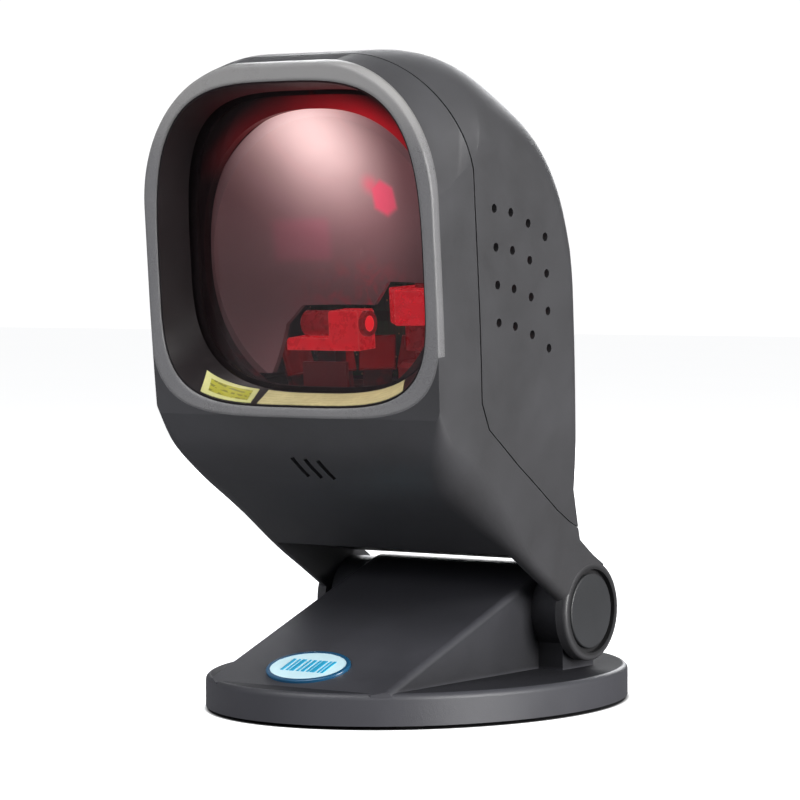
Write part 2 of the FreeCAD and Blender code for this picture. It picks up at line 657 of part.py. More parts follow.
def rear_side(dy, deep=40.0):
    """Everything behind the parting curve moved by dy."""
    q = [(y + dy, z) for y, z in SEAM]
    return yz_prism(q + [(deep, q[-1][1]), (deep, 150.0), (q[0][0], 150.0)], -60.0, 60.0)


rim_up, rim_mid = V["rim_up"], V["rim_mid"]


def se_wire(y, w, mid, up, n_up, dn, n_dn, count=64):
    pts = []
    for i in range(count):
        a = 2 * math.pi * i / count
        c, q = math.cos(a), math.sin(a)
        n, hgt = (n_up, up) if q >= 0 else (n_dn, dn)
        r = 1.0 / ((abs(c) / w) ** n + (abs(q) / hgt) ** n) ** (1.0 / n)
        pts.append(Vector(r * c, y, mid + r * q))
    sp = Part.BSplineCurve()
    sp.interpolate(Points=pts, PeriodicFlag=True)
    return Part.Wire([sp.toShape()])


def prism_y(wire, length):
    return Part.Face(wire).extrude(Vector(0, length, 0))


# rim ring: the front slice of the form above a rounded lower line
ry, rt = V["rim_y"], V["rim_t"]
low = [Vector(-60, ry - 1, 200), Vector(60, ry - 1, 200)]
lw = []
for i in range(33):
    a = math.pi * i / 32
    c, q = math.cos(a), math.sin(a)
    r = 1.0 / ((abs(c) / 39.9) ** 4.31 + (abs(q) / 30.7) ** 4.31) ** (1.0 / 4.31)
    lw.append(Vector(r * c, ry - 1, rim_mid - r * q))
sp = Part.BSplineCurve()
sp.interpolate(Points=lw)
e = [sp.toShape(), Part.makeLine(lw[-1], low[0]), Part.makeLine(low[0], low[1]), Part.makeLine(low[1], lw[0])]
rim_zone = Part.Face(Part.Wire(e)).extrude(Vector(0, 1 + rt, 0))
rim_hole = prism_y(se_wire(ry - 2, V["rim_in_w"], V["rim_in_mid"], V["rim_in_up"], 3.43, V["rim_in_dn"], 4.0), rt + 4)
rim = tidy(F0.common(rim_zone).cut(rim_hole))
for r_out in (0.9, 0.6):
    try:
        t = rim.makeFillet(r_out, [e for e in rim.Edges if flat(bb(e).YMin, ry, 1e-3) and bb(e).YLength < 1e-3])
        if t.isValid() and len(t.Solids) == 1:
            rim = tidy(t)
            break
    except Exception:
        pass
feature("bezel_rim", rim, HEAD)

shell = solid_head.cut(rim_zone).cut(F2)
shell = tidy(shell)
front = tidy(shell.cut(rear_side(0.0)).cut(F1.common(rear_side(-2.6))))
rear = tidy(shell.common(rear_side(0.45)))
tongue = tidy(F1.cut(F2).common(rear_side(-2.3)).cut(rear_side(0.6)))

# ---- front shell: bosses, hinge wells, chin slots
pin_r, cap_seat = V["pin_r"], V["cap_seat"]
adds = []
for sx in (1, -1):
    adds.append(xcyl(sx * V["boss_x"], sx * (V["arm_in"] + 0.4), V["boss_r"]))
    adds.append(ycyl(-58.5, -51.4, 2.8, sx * 15.0, 43.5))                      # chassis bosses
    adds.append(ycyl(-42.8, -25.0, 3.4, sx * V["low_x"], V["low_z"]))          # lower shell bosses
    adds.append(box(sx * V["low_x"] - 0.8, sx * V["low_x"] + 0.8, -45.0, -26.0, 21.5, V["low_z"]).common(F0))
    adds.append(ycyl(-51.0, -47.5, 3.4, sx * V["tube_x"], V["tube_z"]))        # upper shell bosses
    adds.append(box(min(sx * V["tube_x"], sx * 37.6), max(sx * V["tube_x"], sx * 37.6), -51.0, -49.65, V["tube_z"] - 1.5, V["tube_z"] + 1.5).common(F0))
    for yy in (-25.0, -14.5):
        adds.append(zcyl(floor_z(yy) + 1.0, 25.0, 2.4, sx * 16.0, yy))         # interface board bosses
front = front.fuse(adds)
cuts = []
for sx in (1, -1):
    o = V["head_waist"] + 3.0
    cuts.append(xcyl(sx * cap_seat, sx * o, V["cap_well_r"]))
    cuts.append(xcyl(sx * (cap_seat - V["flange_t"] - 0.05), sx * o, V["flange_r"] + 0.1))
    cuts.append(xcyl(sx * 28.0, sx * o, pin_r + 0.02))
    cuts.append(ycyl(-56.0, -50.0, 1.25, sx * 15.0, 43.5))
    cuts.append(ycyl(-36.0, -24.0, V["shell_screw_r"], sx * V["low_x"], V["low_z"]))
    cuts.append(ycyl(-50.6, -47.0, V["shell_screw_r"], sx * V["tube_x"], V["tube_z"]))
    for yy in (-25.0, -14.5):
        cuts.append(zcyl(20.6, 26.0, 1.0, sx * 16.0, yy))
for k in (-1, 0, 1):
    c = box(-V["slot_w"] / 2, V["slot_w"] / 2, -66.0, -50.0, -V["slot_l"] / 2, V["slot_l"] / 2)
    c.Placement = Placement(Vector(0.7 + 3.4 * k, 0, 39.6 - 0.25 * k), Rotation(Vector(0, 1, 0), -22.0))
    cuts.append(c)
front = tidy(front.cut(cuts))
feature("front_shell", front, HEAD)

# ---- rear shell: tongue, screw tubes, vents, jack opening
adds = [tongue]
for sx in (1, -1):
    adds.append(ycyl(-47.3, -6.6, V["tube_r"], sx * V["tube_x"], V["tube_z"]))
    adds.append(ycyl(-24.8, -6.6, V["tube_r"], sx * V["low_x"], V["low_z"]))
rear = rear.fuse(adds)
cuts = []
VENTS = [(-39.5, (95.7, 87.2, 78.9, 70.6)), (-33.0, (94.4, 86.0, 77.5, 69.2)), (-26.2, (91.5, 83.3, 75.1, 66.7)), (-19.5, (88.0, 79.8, 71.4, 63.0))]
for sx in (1, -1):
    cuts.append(ycyl(-44.2, 0.0, V["tube_bore"], sx * V["tube_x"], V["tube_z"]))
    cuts.append(ycyl(-50.0, 0.0, V["shell_screw_r"] + 0.1, sx * V["tube_x"], V["tube_z"]))
    cuts.append(ycyl(-21.8, 0.0, V["tube_bore"], sx * V["low_x"], V["low_z"]))
    cuts.append(ycyl(-30.0, 0.0, V["shell_screw_r"] + 0.1, sx * V["low_x"], V["low_z"]))
    for yy, zz in VENTS:
        for z in zz:
            cuts.append(xcyl(sx * 35.0, sx * 45.0, V["vent_r"], yy, z))
cuts.append(box(-6.4, 6.4, -9.0, 0.0, 27.4, 37.4))
rear = tidy(rear.cut(cuts))
feature("rear_shell", rear, HEAD)

# ---- hood (recess walls), window, gasket
wy, gt = V["win_y"], V["glass_t"]
hin0 = se_wire(ry + 0.3, 36.0, 82.6, 42.5, 3.43, 28.45, 4.0)
hin1 = se_wire(wy, V["win_w"], V["win_mid"], V["win_up"], 3.66, V["win_dn"], 3.0)
hout0 = se_wire(ry + 0.3, 36.4, 82.6, 42.9, 3.43, 28.85, 4.0)
hout1 = se_wire(wy, 36.3, V["win_mid"], 40.3, 3.43, 30.5, 3.2)
hood_in = Part.makeLoft([hin0, hin1], True, False)
hood_out = Part.makeLoft([hout0, hout1], True, False)
hood = tidy(hood_out.cut(hood_in))
feature("window_hood", hood, HEAD)
film_in = Part.makeLoft([se_wire(ry + 0.3, 35.85, 82.6, 42.35, 3.43, 28.30, 4.0), se_wire(wy, V["win_w"] - 0.15, V["win_mid"], V["win_up"] - 0.15, 3.66, V["win_dn"] - 0.15, 3.0)], True, False)
film = tidy(hood_in.cut(film_in))


def on_wall(pts):
    """Piece of the 0.15 mm film on the hood's lower wall, outline given in plan."""
    w = Part.makePolygon([Vector(x, y, 40) for x, y in pts + pts[:1]])
    return tidy(film.common(Part.Face(w).extrude(Vector(0, 0, 30.0))))


lab = on_wall([(-26.6, -62.7), (-12.8, -62.5), (-15.6, -55.2), (-28.6, -57.4)])
panel = on_wall([(-25.3, -61.5), (-14.5, -61.4), (-16.5, -56.4), (-26.8, -58.2)])
feature("label_border", tidy(lab.cut(panel)), HEAD)
feature("label_panel", panel, HEAD)
feature("info_strip", on_wall([(-10.8, -62.7), (29.0, -62.7), (24.0, -54.7), (-13.4, -54.7)]), HEAD)

feature("scan_window", prism_y(se_wire(wy, 36.2, V["win_mid"], 40.2, 3.66, 30.4, 3.2), gt), HEAD)
gy = wy + gt
g = prism_y(se_wire(gy, 36.2, V["win_mid"], 40.2, 3.66, 30.4, 3.2), V["gasket_t"])
g = g.cut(prism_y(se_wire(gy - 1, 33.4, V["win_mid"], 37.4, 3.66, 27.6, 3.2), 4.0))
feature("window_gasket", tidy(g), HEAD)

# ---- optical chassis: frame with elliptical opening, skirt, deck, uprights
cy = gy + V["gasket_t"]
ft = V["frame_t"]
dz = V["dish_z"]


def ell_prism(y, w, hgt, z, length):
    el = Part.Ellipse(Vector(0, y, z + hgt), Vector(w, y, z), Vector(0, y, z)) if hgt > w else Part.Ellipse(Vector(w, y, z), Vector(0, y, z + hgt), Vector(0, y, z))
    return Part.Face(Part.Wire([el.toShape()])).extrude(Vector(0, length, 0))


chas = prism_y(se_wire(cy, 36.2, V["win_mid"], 40.0, 3.66, 30.2, 3.2), ft)
opening = prism_y(se_wire(cy - 1, V["dish_w"] + 1.4, dz, V["dish_up"] + 1.4, 2.35, V["dish_up"], 2.2), ft + 2)
chas = chas.cut(opening)
dk, dt = V["deck_z"], V["deck_t"]
top = dk + dt
parts = [box(-24.0, 24.0, cy, cy + ft, 38.0, 66.0).cut(opening),
         box(-28.0, 28.0, cy + ft - 0.5, -14.0, dk, top),
         box(-26.5, -20.5, -18.4, -15.4, top - 0.5, 101.0), box(20.5, 26.5, -18.4, -15.4, top - 0.5, 101.0),
         box(-8.0, -3.0, -43.0, -39.0, top - 0.5, 64.4)]
chas = chas.fuse(parts)
# pattern mirror seats
MIR = []
for ang, reach in ((172.0, 20.6), (148.0, 16.5), (116.0, 16.5), (84.0, 16.5), (56.0, 18.5)):
    a = math.radians(ang)
    pos = Vector(3.0 + reach * math.cos(a), -40.0 + reach * math.sin(a), 62.2)
    rot = Rotation(Vector(0, 0, 1), ang - 90.0).multiply(Rotation(Vector(1, 0, 0), -18.0))
    MIR.append(Placement(pos, rot))
for m in MIR:
    seat = box(-3.4, 3.4, 1.2, 2.6, -8.5, 3.0)
    seat.Placement = m
    chas = chas.fuse(seat.common(box(-60, 60, -48.0, -20.05, top - 0.3, 80)))
cuts = []
for sx in (1, -1):
    cuts.append(ycyl(cy - 1, cy + ft + 1, 1.35, sx * 15.0, 43.5))
    cuts.append(ycyl(cy - 1, cy + ft + 1, 3.65, sx * V["tube_x"], V["tube_z"]))
    for z in (62.0, 98.0):
        cuts.append(ycyl(-22.0, -15.9, 1.0, sx * 23.5, z))
chas = tidy(chas.cut(cuts))
feature("optical_chassis", chas, HEAD)


def head_at(x, y, z, rot=Rotation()):
    return HEAD.multiply(Placement(Vector(x, y, z), rot))


# ---- collecting mirror: revolved dish with a flat flange and an arch cut away
rs, dd, wt = V["dish_up"] - 0.4, V["dish_deep"], V["dish_t"]
Rs = (rs * rs + dd * dd) / (2 * dd)
b = new_body("collector_mirror", head_at(0, cy + ft, dz))
s = sketch(b, "YZ_Plane")
ccx = dd - Rs
am = math.atan2(rs, -ccx)
inner = Part.Arc(Vector(dd, 0, 0), Vector(ccx + Rs * math.cos(am / 2), Rs * math.sin(am / 2), 0), Vector(0, rs, 0))
Ro = Rs + wt
a1 = math.acos((wt - ccx) / Ro)
ye = ccx + Ro * math.cos(a1)
ze = Ro * math.sin(a1)
outer = Part.Arc(Vector(dd + wt, 0, 0), Vector(ccx + Ro * math.cos(a1 / 2), Ro * math.sin(a1 / 2), 0), Vector(ye, ze, 0))
s.addGeometry(inner, False)
s.addGeometry(Part.LineSegment(Vector(0, rs, 0), Vector(0, 34.4, 0)), False)
s.addGeometry(Part.LineSegment(Vector(0, 34.4, 0), Vector(ye, 34.4, 0)), False)
s.addGeometry(Part.LineSegment(Vector(ye, 34.4, 0), Vector(ye, ze, 0)), False)
s.addGeometry(outer, False)
s.addGeometry(Part.LineSegment(Vector(dd + wt, 0, 0), Vector(dd, 0, 0)), False)
revolve(b, s, 360.0, "H_Axis")
s = sketch(b, "XZ_Plane")
poly(s, [(-17.0, -60.0), (-17.0, -15.5), (-14.0, -11.4), (4.6, -11.4), (8.2, -6.2), (40.0, -6.2), (40.0, -60.0)])
pocket(b, s, 100.0, both=True)
s = sketch(b, "XZ_Plane")
rect(s, 80.0, 30.0, 0.0, -41.0)
pocket(b, s, 100.0, both=True)

# ---- pattern mirrors
for i, m in enumerate(MIR, start=1):
    b = new_body("pattern_mirror_%d" % i, HEAD.multiply(m))
    s = sketch(b, "XZ_Plane")
    rect(s, 8.4, 8.0)
    pad(b, s, 1.2, rev=True)
    fillet(b, 0.25, lambda e: flat(bb(e).YMin, 0.0) and flat(bb(e).YMax, 0.0), chamfer=True)

# ---- laser: clamp, module, lens
b = new_body("laser_clamp", head_at(0, -41, 0))
s = sketch(b, "XZ_Plane")
poly(s, [(-15.5, 64.4), (4.5, 64.4), (4.5, 73.4), (-3.6, 73.4), (-3.6, 67.2), (-15.5, 67.2)])
pad(b, s, 6.4, both=True)
fillet(b, 0.5, lambda e: bb(e).YLength > 6 and bb(e).ZMax > 66.5, chamfer=True)
s = sketch(b, "YZ_Plane")
circle(s, 2.95, 0.0, 70.3)
pocket(b, s, 30.0, both=True)
b = new_body("laser_module", head_at(0, -41, 70.3))
s = sketch(b, "YZ_Plane", -12.0)
circle(s, 2.9)
pad(b, s, 17.5)
fillet(b, 0.4, lambda e: flat(bb(e).XMin, -12.0) and flat(bb(e).XMax, -12.0), chamfer=True)
s = sketch(b, "YZ_Plane", 5.5)
circle(s, 1.8)
pocket(b, s, 1.0)
b = new_body("laser_lens", head_at(4.5, -41, 70.3))
s = sketch(b, "YZ_Plane")
circle(s, 1.8)
pad(b, s, 0.9)

# ---- receiver: little board, diode, red filter, facing the dish
b = new_body("sensor_board", head_at(-3.0, -46.4, 0))
s = sketch(b, "XZ_Plane")
rect(s, 12.0, 7.6, 0.0, 58.4)
pad(b, s, 1.0)
b = new_body("photodiode", head_at(-3.0, -45.3, 0))
s = sketch(b, "XZ_Plane")
rect(s, 4.4, 4.4, 0.0, 59.0)
pad(b, s, 1.1)
fillet(b, 0.3, lambda e: bb(e).YLength > 1.0, chamfer=True)
b = new_body("sensor_filter", head_at(-3.0, -44.7, 0))
s = sketch(b, "XZ_Plane")
rect(s, 5.0, 5.0, 0.0, 59.0)
pad(b, s, 0.6)

# ---- motor board, stator, spinning polygon
px, py, pz = V["spin_x"], V["spin_y"], V["spin_z"]
b = new_body("motor_board", head_at(18.0, -37.5, top))
s = sketch(b, "XY_Plane")
rect(s, 19.6, 17.0)
circle(s, 1.2, V["spin_x"] - 18.0, V["spin_y"] + 37.5)
pad(b, s, "board_t")
b = new_body("motor_stator", head_at(px, py, top + V["board_t"]))
s = sketch(b, "XZ_Plane")
poly(s, [(2.55, 0.0), (7.6, 0.0), (7.6, 4.6), (6.6, 5.6), (3.6, 5.6), (3.6, 7.6), (2.55, 7.6)])
revolve(b, s, 360.0, "V_Axis")

SPIN = head_at(px, py, 0)
b = new_body("rotor_hub", SPIN)
s = sketch(b, "XZ_Plane")
z0 = top + V["board_t"]
poly(s, [(0.0, z0 - 0.9), (1.0, z0 - 0.9), (1.0, z0 + 0.3), (2.5, z0 + 0.3), (2.5, z0 + 8.2), (5.6, z0 + 8.2), (5.6, V["spin_z"]), (3.0, V["spin_z"]), (3.0, V["spin_z"] + V["poly_h"] + 0.8), (2.2, V["spin_z"] + V["poly_h"] + 1.4), (0.0, V["spin_z"] + V["poly_h"] + 1.4)])
revolve(b, s, 360.0, "V_Axis")
b = new_body("polygon_mirror", SPIN)
s = sketch(b, "XY_Plane", "spin_z")
hexp = [(V["poly_r"] * math.cos(math.radians(60 * k + 12)), V["poly_r"] * math.sin(math.radians(60 * k + 12))) for k in range(6)]
g = [s.addGeometry(Part.LineSegment(Vector(*hexp[k], 0), Vector(*hexp[(k + 1) % 6], 0)), False) for k in range(6)]
ring_g = s.addGeometry(Part.Circle(Vector(0, 0, 0), Vector(0, 0, 1), V["poly_r"]), True)
for k in range(6):
    s.addConstraint(C("Coincident", g[k], 2, g[(k + 1) % 6], 1))
    s.addConstraint(C("PointOnObject", g[k], 1, ring_g))
for k in range(5):
    s.addConstraint(C("Equal", g[k], g[k + 1]))
s.addConstraint(C("Coincident", ring_g, 3, -1, 1))
s.addConstraint(C("Angle", -1, 1, g[0], 1, math.radians(132)))
fix(s, "Radius", (ring_g,), "poly_r")
pad(b, s, "poly_h")
s = sketch(b, "XY_Plane", "spin_z-0.5")
circle(s, 3.0)
pocket(b, s, 20.0, rev=True)
fillet(b, 0.3, lambda e: bb(e).ZLength < 1e-3 and bb(e).XLength + bb(e).YLength > 8 and type(e.Curve).__name__ == "Line", chamfer=True)

# ---- decode board on the uprights and what it carries
b = new_body("decode_board", head_at(0, -18.4, 0))
s = sketch(b, "XZ_Plane")
rect(s, "dec_w", "dec_h", 0.0, 80.0)
for sx in (1, -1):
    for z in (62.0, 98.0):
        circle(s, 1.15, sx * 23.5, z)
pad(b, s, "board_t")
b = new_body("decoder_chip", head_at(0, -16.6, 0))
s = sketch(b, "XZ_Plane")
rect(s, 14.0, 14.0, -4.0, 88.0)
pad(b, s, 1.8)
fillet(b, 0.4, lambda e: bb(e).YLength > 1.7, chamfer=True)
solids = [box(6.0, 14.0, -18.4, -17.2, 84.0, 96.0), box(6.0, 13.0, -18.4, -17.3, 70.0, 78.0), box(-16.0, -9.0, -18.4, -17.3, 70.0, 76.0)]
feature("memory_chips", Part.makeCompound([q.makeChamfer(0.25, [e for e in q.Edges if bb(e).YLength > 1.0]) for q in solids]), HEAD)
b = new_body("shield_can", head_at(0, -20.0, 0))
s = sketch(b, "XZ_Plane")
rect(s, 22.0, 12.0, 8.0, 98.0)
pad(b, s, 2.6)
fillet(b, 0.6, lambda e: bb(e).YLength > 2.5 or (flat(bb(e).YMin, -2.6) and flat(bb(e).YMax, -2.6)))
solids = []
for x, z, r, hgt in ((-17.5, 92.0, 2.6, 4.6), (-17.5, 85.5, 2.6, 4.6), (-1.5, 75.0, 1.8, 3.6), (17.5, 84.0, 1.8, 3.6)):
    q = ycyl(-18.4, -18.4 + hgt, r, x, z)
    solids.append(q.makeFillet(0.4, [e for e in q.Edges if flat(bb(e).YMin, -18.4 + hgt) and bb(e).XLength > r]))
feature("capacitors", Part.makeCompound(solids), HEAD)
feature("board_headers", Part.makeCompound([box(7.4, 13.6, -18.4, -14.0, 58.5, 63.5), box(7.4, 13.6, -15.6, -11.2, 26.6, 30.0)]), HEAD)

# ---- ribbon lead between the two headers
rib = [(-13.95, 62.5), (-13.35, 62.5), (-12.75, 56.0), (-12.75, 38.0), (-13.0, 31.0), (-13.1, 30.05), (-13.7, 30.05), (-13.6, 31.0), (-13.35, 38.0), (-13.35, 56.0)]
feature("ribbon_lead", yz_prism(rib, 8.2, 12.8), HEAD)

# ---- interface board, jack, beeper, LED
b = new_body("interface_board", head_at(0, 0, 25.0))
s = sketch(b, "XY_Plane")
rect(s, 40.0, 20.0, 0.0, -19.0)
for sx in (1, -1):
    for yy in (-25.0, -14.5):
        circle(s, 1.15, sx * 16.0, yy)
pad(b, s, "board_t")
b = new_body("interface_jack", head_at(0, -8.1, 26.6))
s = sketch(b, "XZ_Plane")
rect(s, 13.6, 12.0, 0.0, 6.0)
pad(b, s, 15.0)
s = sketch(b, "XZ_Plane")
poly(s, [(-5.4, 2.0), (5.4, 2.0), (5.4, 8.2), (2.6, 8.2), (2.6, 9.8), (-2.6, 9.8), (-2.6, 8.2), (-5.4, 8.2)])
pocket(b, s, 11.0, rev=True)
solids = [box(-4.2 + 0.9 * k, -3.9 + 0.9 * k, -18.6, -9.6, 29.2, 29.5) for k in range(10)]
feature("jack_contacts", Part.makeCompound([q.fuse(box(q.BoundBox.XMin, q.BoundBox.XMax, -18.94, -18.6, 29.2, 33.0)).removeSplitter() for q in solids]), HEAD)
b = new_body("beeper", head_at(0, -51.3, 43.6))
s = sketch(b, "XZ_Plane")
circle(s, 4.5)
pad(b, s, 3.2)
fillet(b, 0.4, lambda e: flat(bb(e).YMin, -3.2) and flat(bb(e).YMax, -3.2))
s = sketch(b, "XZ_Plane", 3.2)
circle(s, 0.9)
pocket(b, s, 1.2)
b = new_body("power_led", head_at(9.2, -51.3, 42.4))
s = sketch(b, "XZ_Plane")
circle(s, 1.2)
pad(b, s, 2.6)
fillet(b, 0.8, lambda e: flat(bb(e).YMin, -2.6) and flat(bb(e).YMax, -2.6))

# ---- blank rating plate on the flat back
b = new_body("rating_label", head_at(0, BACK, 0))
s = sketch(b, "XZ_Plane")
rect(s, 34.0, 18.0, 0.0, 52.0)
pad(b, s, 0.2, rev=True)
fillet(b, 1.5, lambda e: bb(e).YLength > 0.15)

# ---- screws of the head
scr = pan_screw(2.4, 1.8, V["shell_screw_r"], 9.0)
feature("shell_screws", Part.makeCompound(
    [placed(pan_screw(2.4, 1.8, 1.5, 6.2), (sx * V["tube_x"], -44.2, V["tube_z"]), TO_FRONT) for sx in (1, -1)]
    + [placed(pan_screw(2.4, 1.8, 1.5, 9.0), (sx * V["low_x"], -21.8, V["low_z"]), TO_FRONT) for sx in (1, -1)]), HEAD)
feature("chassis_screws", Part.makeCompound(
    [placed(pan_screw(2.2, 1.5, 1.25, 7.0), (sx * 15.0, cy + ft, 43.5), TO_FRONT) for sx in (1, -1)]), HEAD)
feature("board_screws", Part.makeCompound(
    [placed(pan_screw(2.0, 1.3, 1.0, 4.0), (sx * 23.5, -20.0, z), TO_REAR) for sx in (1, -1) for z in (62.0, 98.0)]
    + [placed(pan_screw(2.0, 1.3, 1.0, 4.6), (sx * 16.0, yy, 26.6), Rotation(Vector(1, 0, 0), 180)) for sx in (1, -1) for yy in (-25.0, -14.5)]), HEAD)

# ---- hinge pins, nuts, spring washers, caps (tilt with the head)
solids, nuts, rings = [], [], []
for sgn in (1, -1):
    q = xcyl(sgn * V["pin_end"], sgn * (cap_seat - V["flange_t"]), pin_r).fuse(xcyl(sgn * (cap_seat - V["flange_t"]), sgn * cap_seat, V["flange_r"]))
    q = tidy(q)
    q = q.makeChamfer(0.6, [e for e in q.Edges if flat(bb(e).XMin, sgn * V["pin_end"]) and flat(bb(e).XMax, sgn * V["pin_end"])])
    k = sgn * cap_seat
    q = q.cut(box(min(k, k - sgn * 0.8), max(k, k - sgn * 0.8), -4.5, 4.5, -0.7, 0.7))
    solids.append(tidy(q))
    hexw = Part.makePolygon([Vector(sgn * V["nut_x"], V["nut_af"] / math.sqrt(3) * math.cos(math.radians(60 * k)), V["nut_af"] / math.sqrt(3) * math.sin(math.radians(60 * k))) for k in range(7)])
    n = Part.Face(hexw).extrude(Vector(sgn * V["nut_t"], 0, 0)).cut(xcyl(sgn * 10, sgn * 25, pin_r))
    nuts.append(tidy(n))
    a0 = sgn * (V["nut_x"] + V["nut_t"] + 0.05)
    a1 = sgn * (V["bay_half"] - 0.1)
    rings.append(tidy(xcyl(a0, a1, 7.0).cut(xcyl(sgn * 10, sgn * 25, pin_r + 0.1))))
feature("hinge_pins", Part.makeCompound(solids), HEAD)
feature("hinge_nuts", Part.makeCompound(nuts), HEAD)
feature("spring_washers", Part.makeCompound(rings), HEAD)
for side, sgn in (("left", -1), ("right", 1)):
    b = new_body("hinge_cap_" + side, HEAD)
    s = sketch(b, "YZ_Plane", "cap_seat" if sgn > 0 else "-cap_seat")
    circle(s, "cap_r")
    pad(b, s, "cap_t", rev=(sgn < 0))
    fillet(b, 0.4, lambda e: flat(bb(e).XMin, sgn * (cap_seat + V["cap_t"]), 1e-3) and flat(bb(e).XMax, sgn * (cap_seat + V["cap_t"]), 1e-3))

# ================================================================= output
doc.recompute()
NODES = ["base_cover", "base_plate", "ballast_plate", "rubber_feet", "base_screws", "badge_rim", "badge_face", "badge_bars",
         "hinge_bushes", "friction_washers", "bezel_rim", "front_shell", "rear_shell", "window_hood", "label_border",
         "label_panel", "info_strip", "scan_window", "window_gasket", "optical_chassis", "collector_mirror",
         "pattern_mirror_1", "pattern_mirror_2", "pattern_mirror_3", "pattern_mirror_4", "pattern_mirror_5",
         "laser_clamp", "laser_module", "laser_lens", "sensor_board", "photodiode", "sensor_filter",
         "motor_board", "motor_stator", "rotor_hub", "polygon_mirror", "decode_board", "decoder_chip", "memory_chips",
         "shield_can", "capacitors", "board_headers", "ribbon_lead", "interface_board", "interface_jack",
         "jack_contacts", "beeper", "power_led", "rating_label", "shell_screws", "chassis_screws", "board_screws",
         "hinge_pins", "hinge_nuts", "spring_washers", "hinge_cap_left", "hinge_cap_right"]
bad = 0
for o in doc.Objects:
    if "Invalid" in o.State or "Error" in o.State:
        print("BAD STATE", o.Label, o.State)
        bad += 1
for name in NODES:
    o = doc.getObjectsByLabel(name)[0]
    sh = o.Shape
    if sh.isNull() or not sh.isValid():
        print("BAD SHAPE", name)
        bad += 1
        continue
    q = sh.optimalBoundingBox(False)
    print("%-18s solids %d vol %.1f  x %.1f %.1f  y %.1f %.1f  z %.1f %.1f" % (name, len(sh.Solids), sh.Volume, q.XMin, q.XMax, q.YMin, q.YMax, q.ZMin, q.ZMax))
    sh.exportStep("parts/%s.step" % name)
print("nodes", len(NODES), "bad", bad)
if bad:
    raise RuntimeError("bad shapes")
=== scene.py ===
"""Looks, floor, lights and camera for a small counter-top laser scanner.

The scanner stands on z = 0 in metres, facing -Y, with its base round the Z axis.
Its head turns on a hinge along X and leans back. Patterns on the head are placed
in the head's own frame: millimetres from the hinge, Y to the back and Z up the head.
"""
import math

import bpy
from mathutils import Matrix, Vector


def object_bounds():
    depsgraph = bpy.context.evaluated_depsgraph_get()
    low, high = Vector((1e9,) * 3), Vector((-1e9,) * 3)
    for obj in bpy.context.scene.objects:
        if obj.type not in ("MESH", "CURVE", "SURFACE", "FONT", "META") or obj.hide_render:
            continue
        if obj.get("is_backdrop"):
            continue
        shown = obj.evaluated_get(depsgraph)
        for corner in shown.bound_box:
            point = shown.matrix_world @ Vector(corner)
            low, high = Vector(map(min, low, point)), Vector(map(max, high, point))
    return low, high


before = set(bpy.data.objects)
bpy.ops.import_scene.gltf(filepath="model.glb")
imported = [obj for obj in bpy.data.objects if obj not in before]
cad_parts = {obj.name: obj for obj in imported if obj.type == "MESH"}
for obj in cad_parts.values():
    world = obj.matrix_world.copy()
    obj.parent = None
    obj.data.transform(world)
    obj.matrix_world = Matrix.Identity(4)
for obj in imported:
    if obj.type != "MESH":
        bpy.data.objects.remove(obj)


def plain(bounds):
    if isinstance(bounds, dict):
        return {key: plain(item) for key, item in bounds.items()}
    if isinstance(bounds, (int, float, str, bool)) or bounds is None:
        return bounds
    return [plain(item) for item in bounds]


SIZE = {"after_load": plain(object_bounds())}

# Hinge place in metres, and the lean of the head about it
HINGE_Y, HINGE_Z = 0.019, 0.0213
LEAN = math.radians(4.7)
COS_LEAN, SIN_LEAN = math.cos(LEAN), math.sin(LEAN)
MM_PER_M = 1000.0


# ------------------------------------------------------------ node helpers
class Value:
    """A node's output socket. Arithmetic on it adds Math nodes."""

    def __init__(self, graph, socket):
        self.graph = graph
        self.socket = socket

    def __add__(self, other):
        return self.graph.math("ADD", self, other)

    def __sub__(self, other):
        return self.graph.math("SUBTRACT", self, other)

    def __rsub__(self, other):
        return self.graph.math("SUBTRACT", other, self)

    def __mul__(self, other):
        return self.graph.math("MULTIPLY", self, other)

    def __truediv__(self, other):
        return self.graph.math("DIVIDE", self, other)

    def __pow__(self, other):
        return self.graph.math("POWER", self, other)

    def __abs__(self):
        return self.graph.math("ABSOLUTE", self)

    def sqrt(self):
        return self.graph.math("SQRT", self)

    def clamped(self):
        """Clamp the Math node behind this value to 0..1."""
        self.socket.node.use_clamp = True
        return self

    def ramp(self, start, end, to=(0.0, 1.0), kind="LINEAR"):
        """Map start..end onto the range `to`, held level beyond it."""
        inputs = dict(enumerate((self, start, end, *to)))
        return self.graph.value("ShaderNodeMapRange", inputs, interpolation_type=kind)

    def ease(self, start, end, to=(0.0, 1.0)):
        """As ramp, with a smooth start and end."""
        return self.ramp(start, end, to, "SMOOTHSTEP")

    def vary(self, low=0.0, high=1.0):
        """Spread the middle band of a noise over low..high."""
        return self.ramp(0.3, 0.7, to=(low, high))

    def patches(self, amount=1.0):
        """Mask of a noise's upper patches."""
        return self.ramp(0.35, 0.7, to=(0.0, amount))

    def specks(self, amount):
        """Crisper mask of a grain's high specks."""
        return self.ramp(0.42, 0.62, to=(0.0, amount))


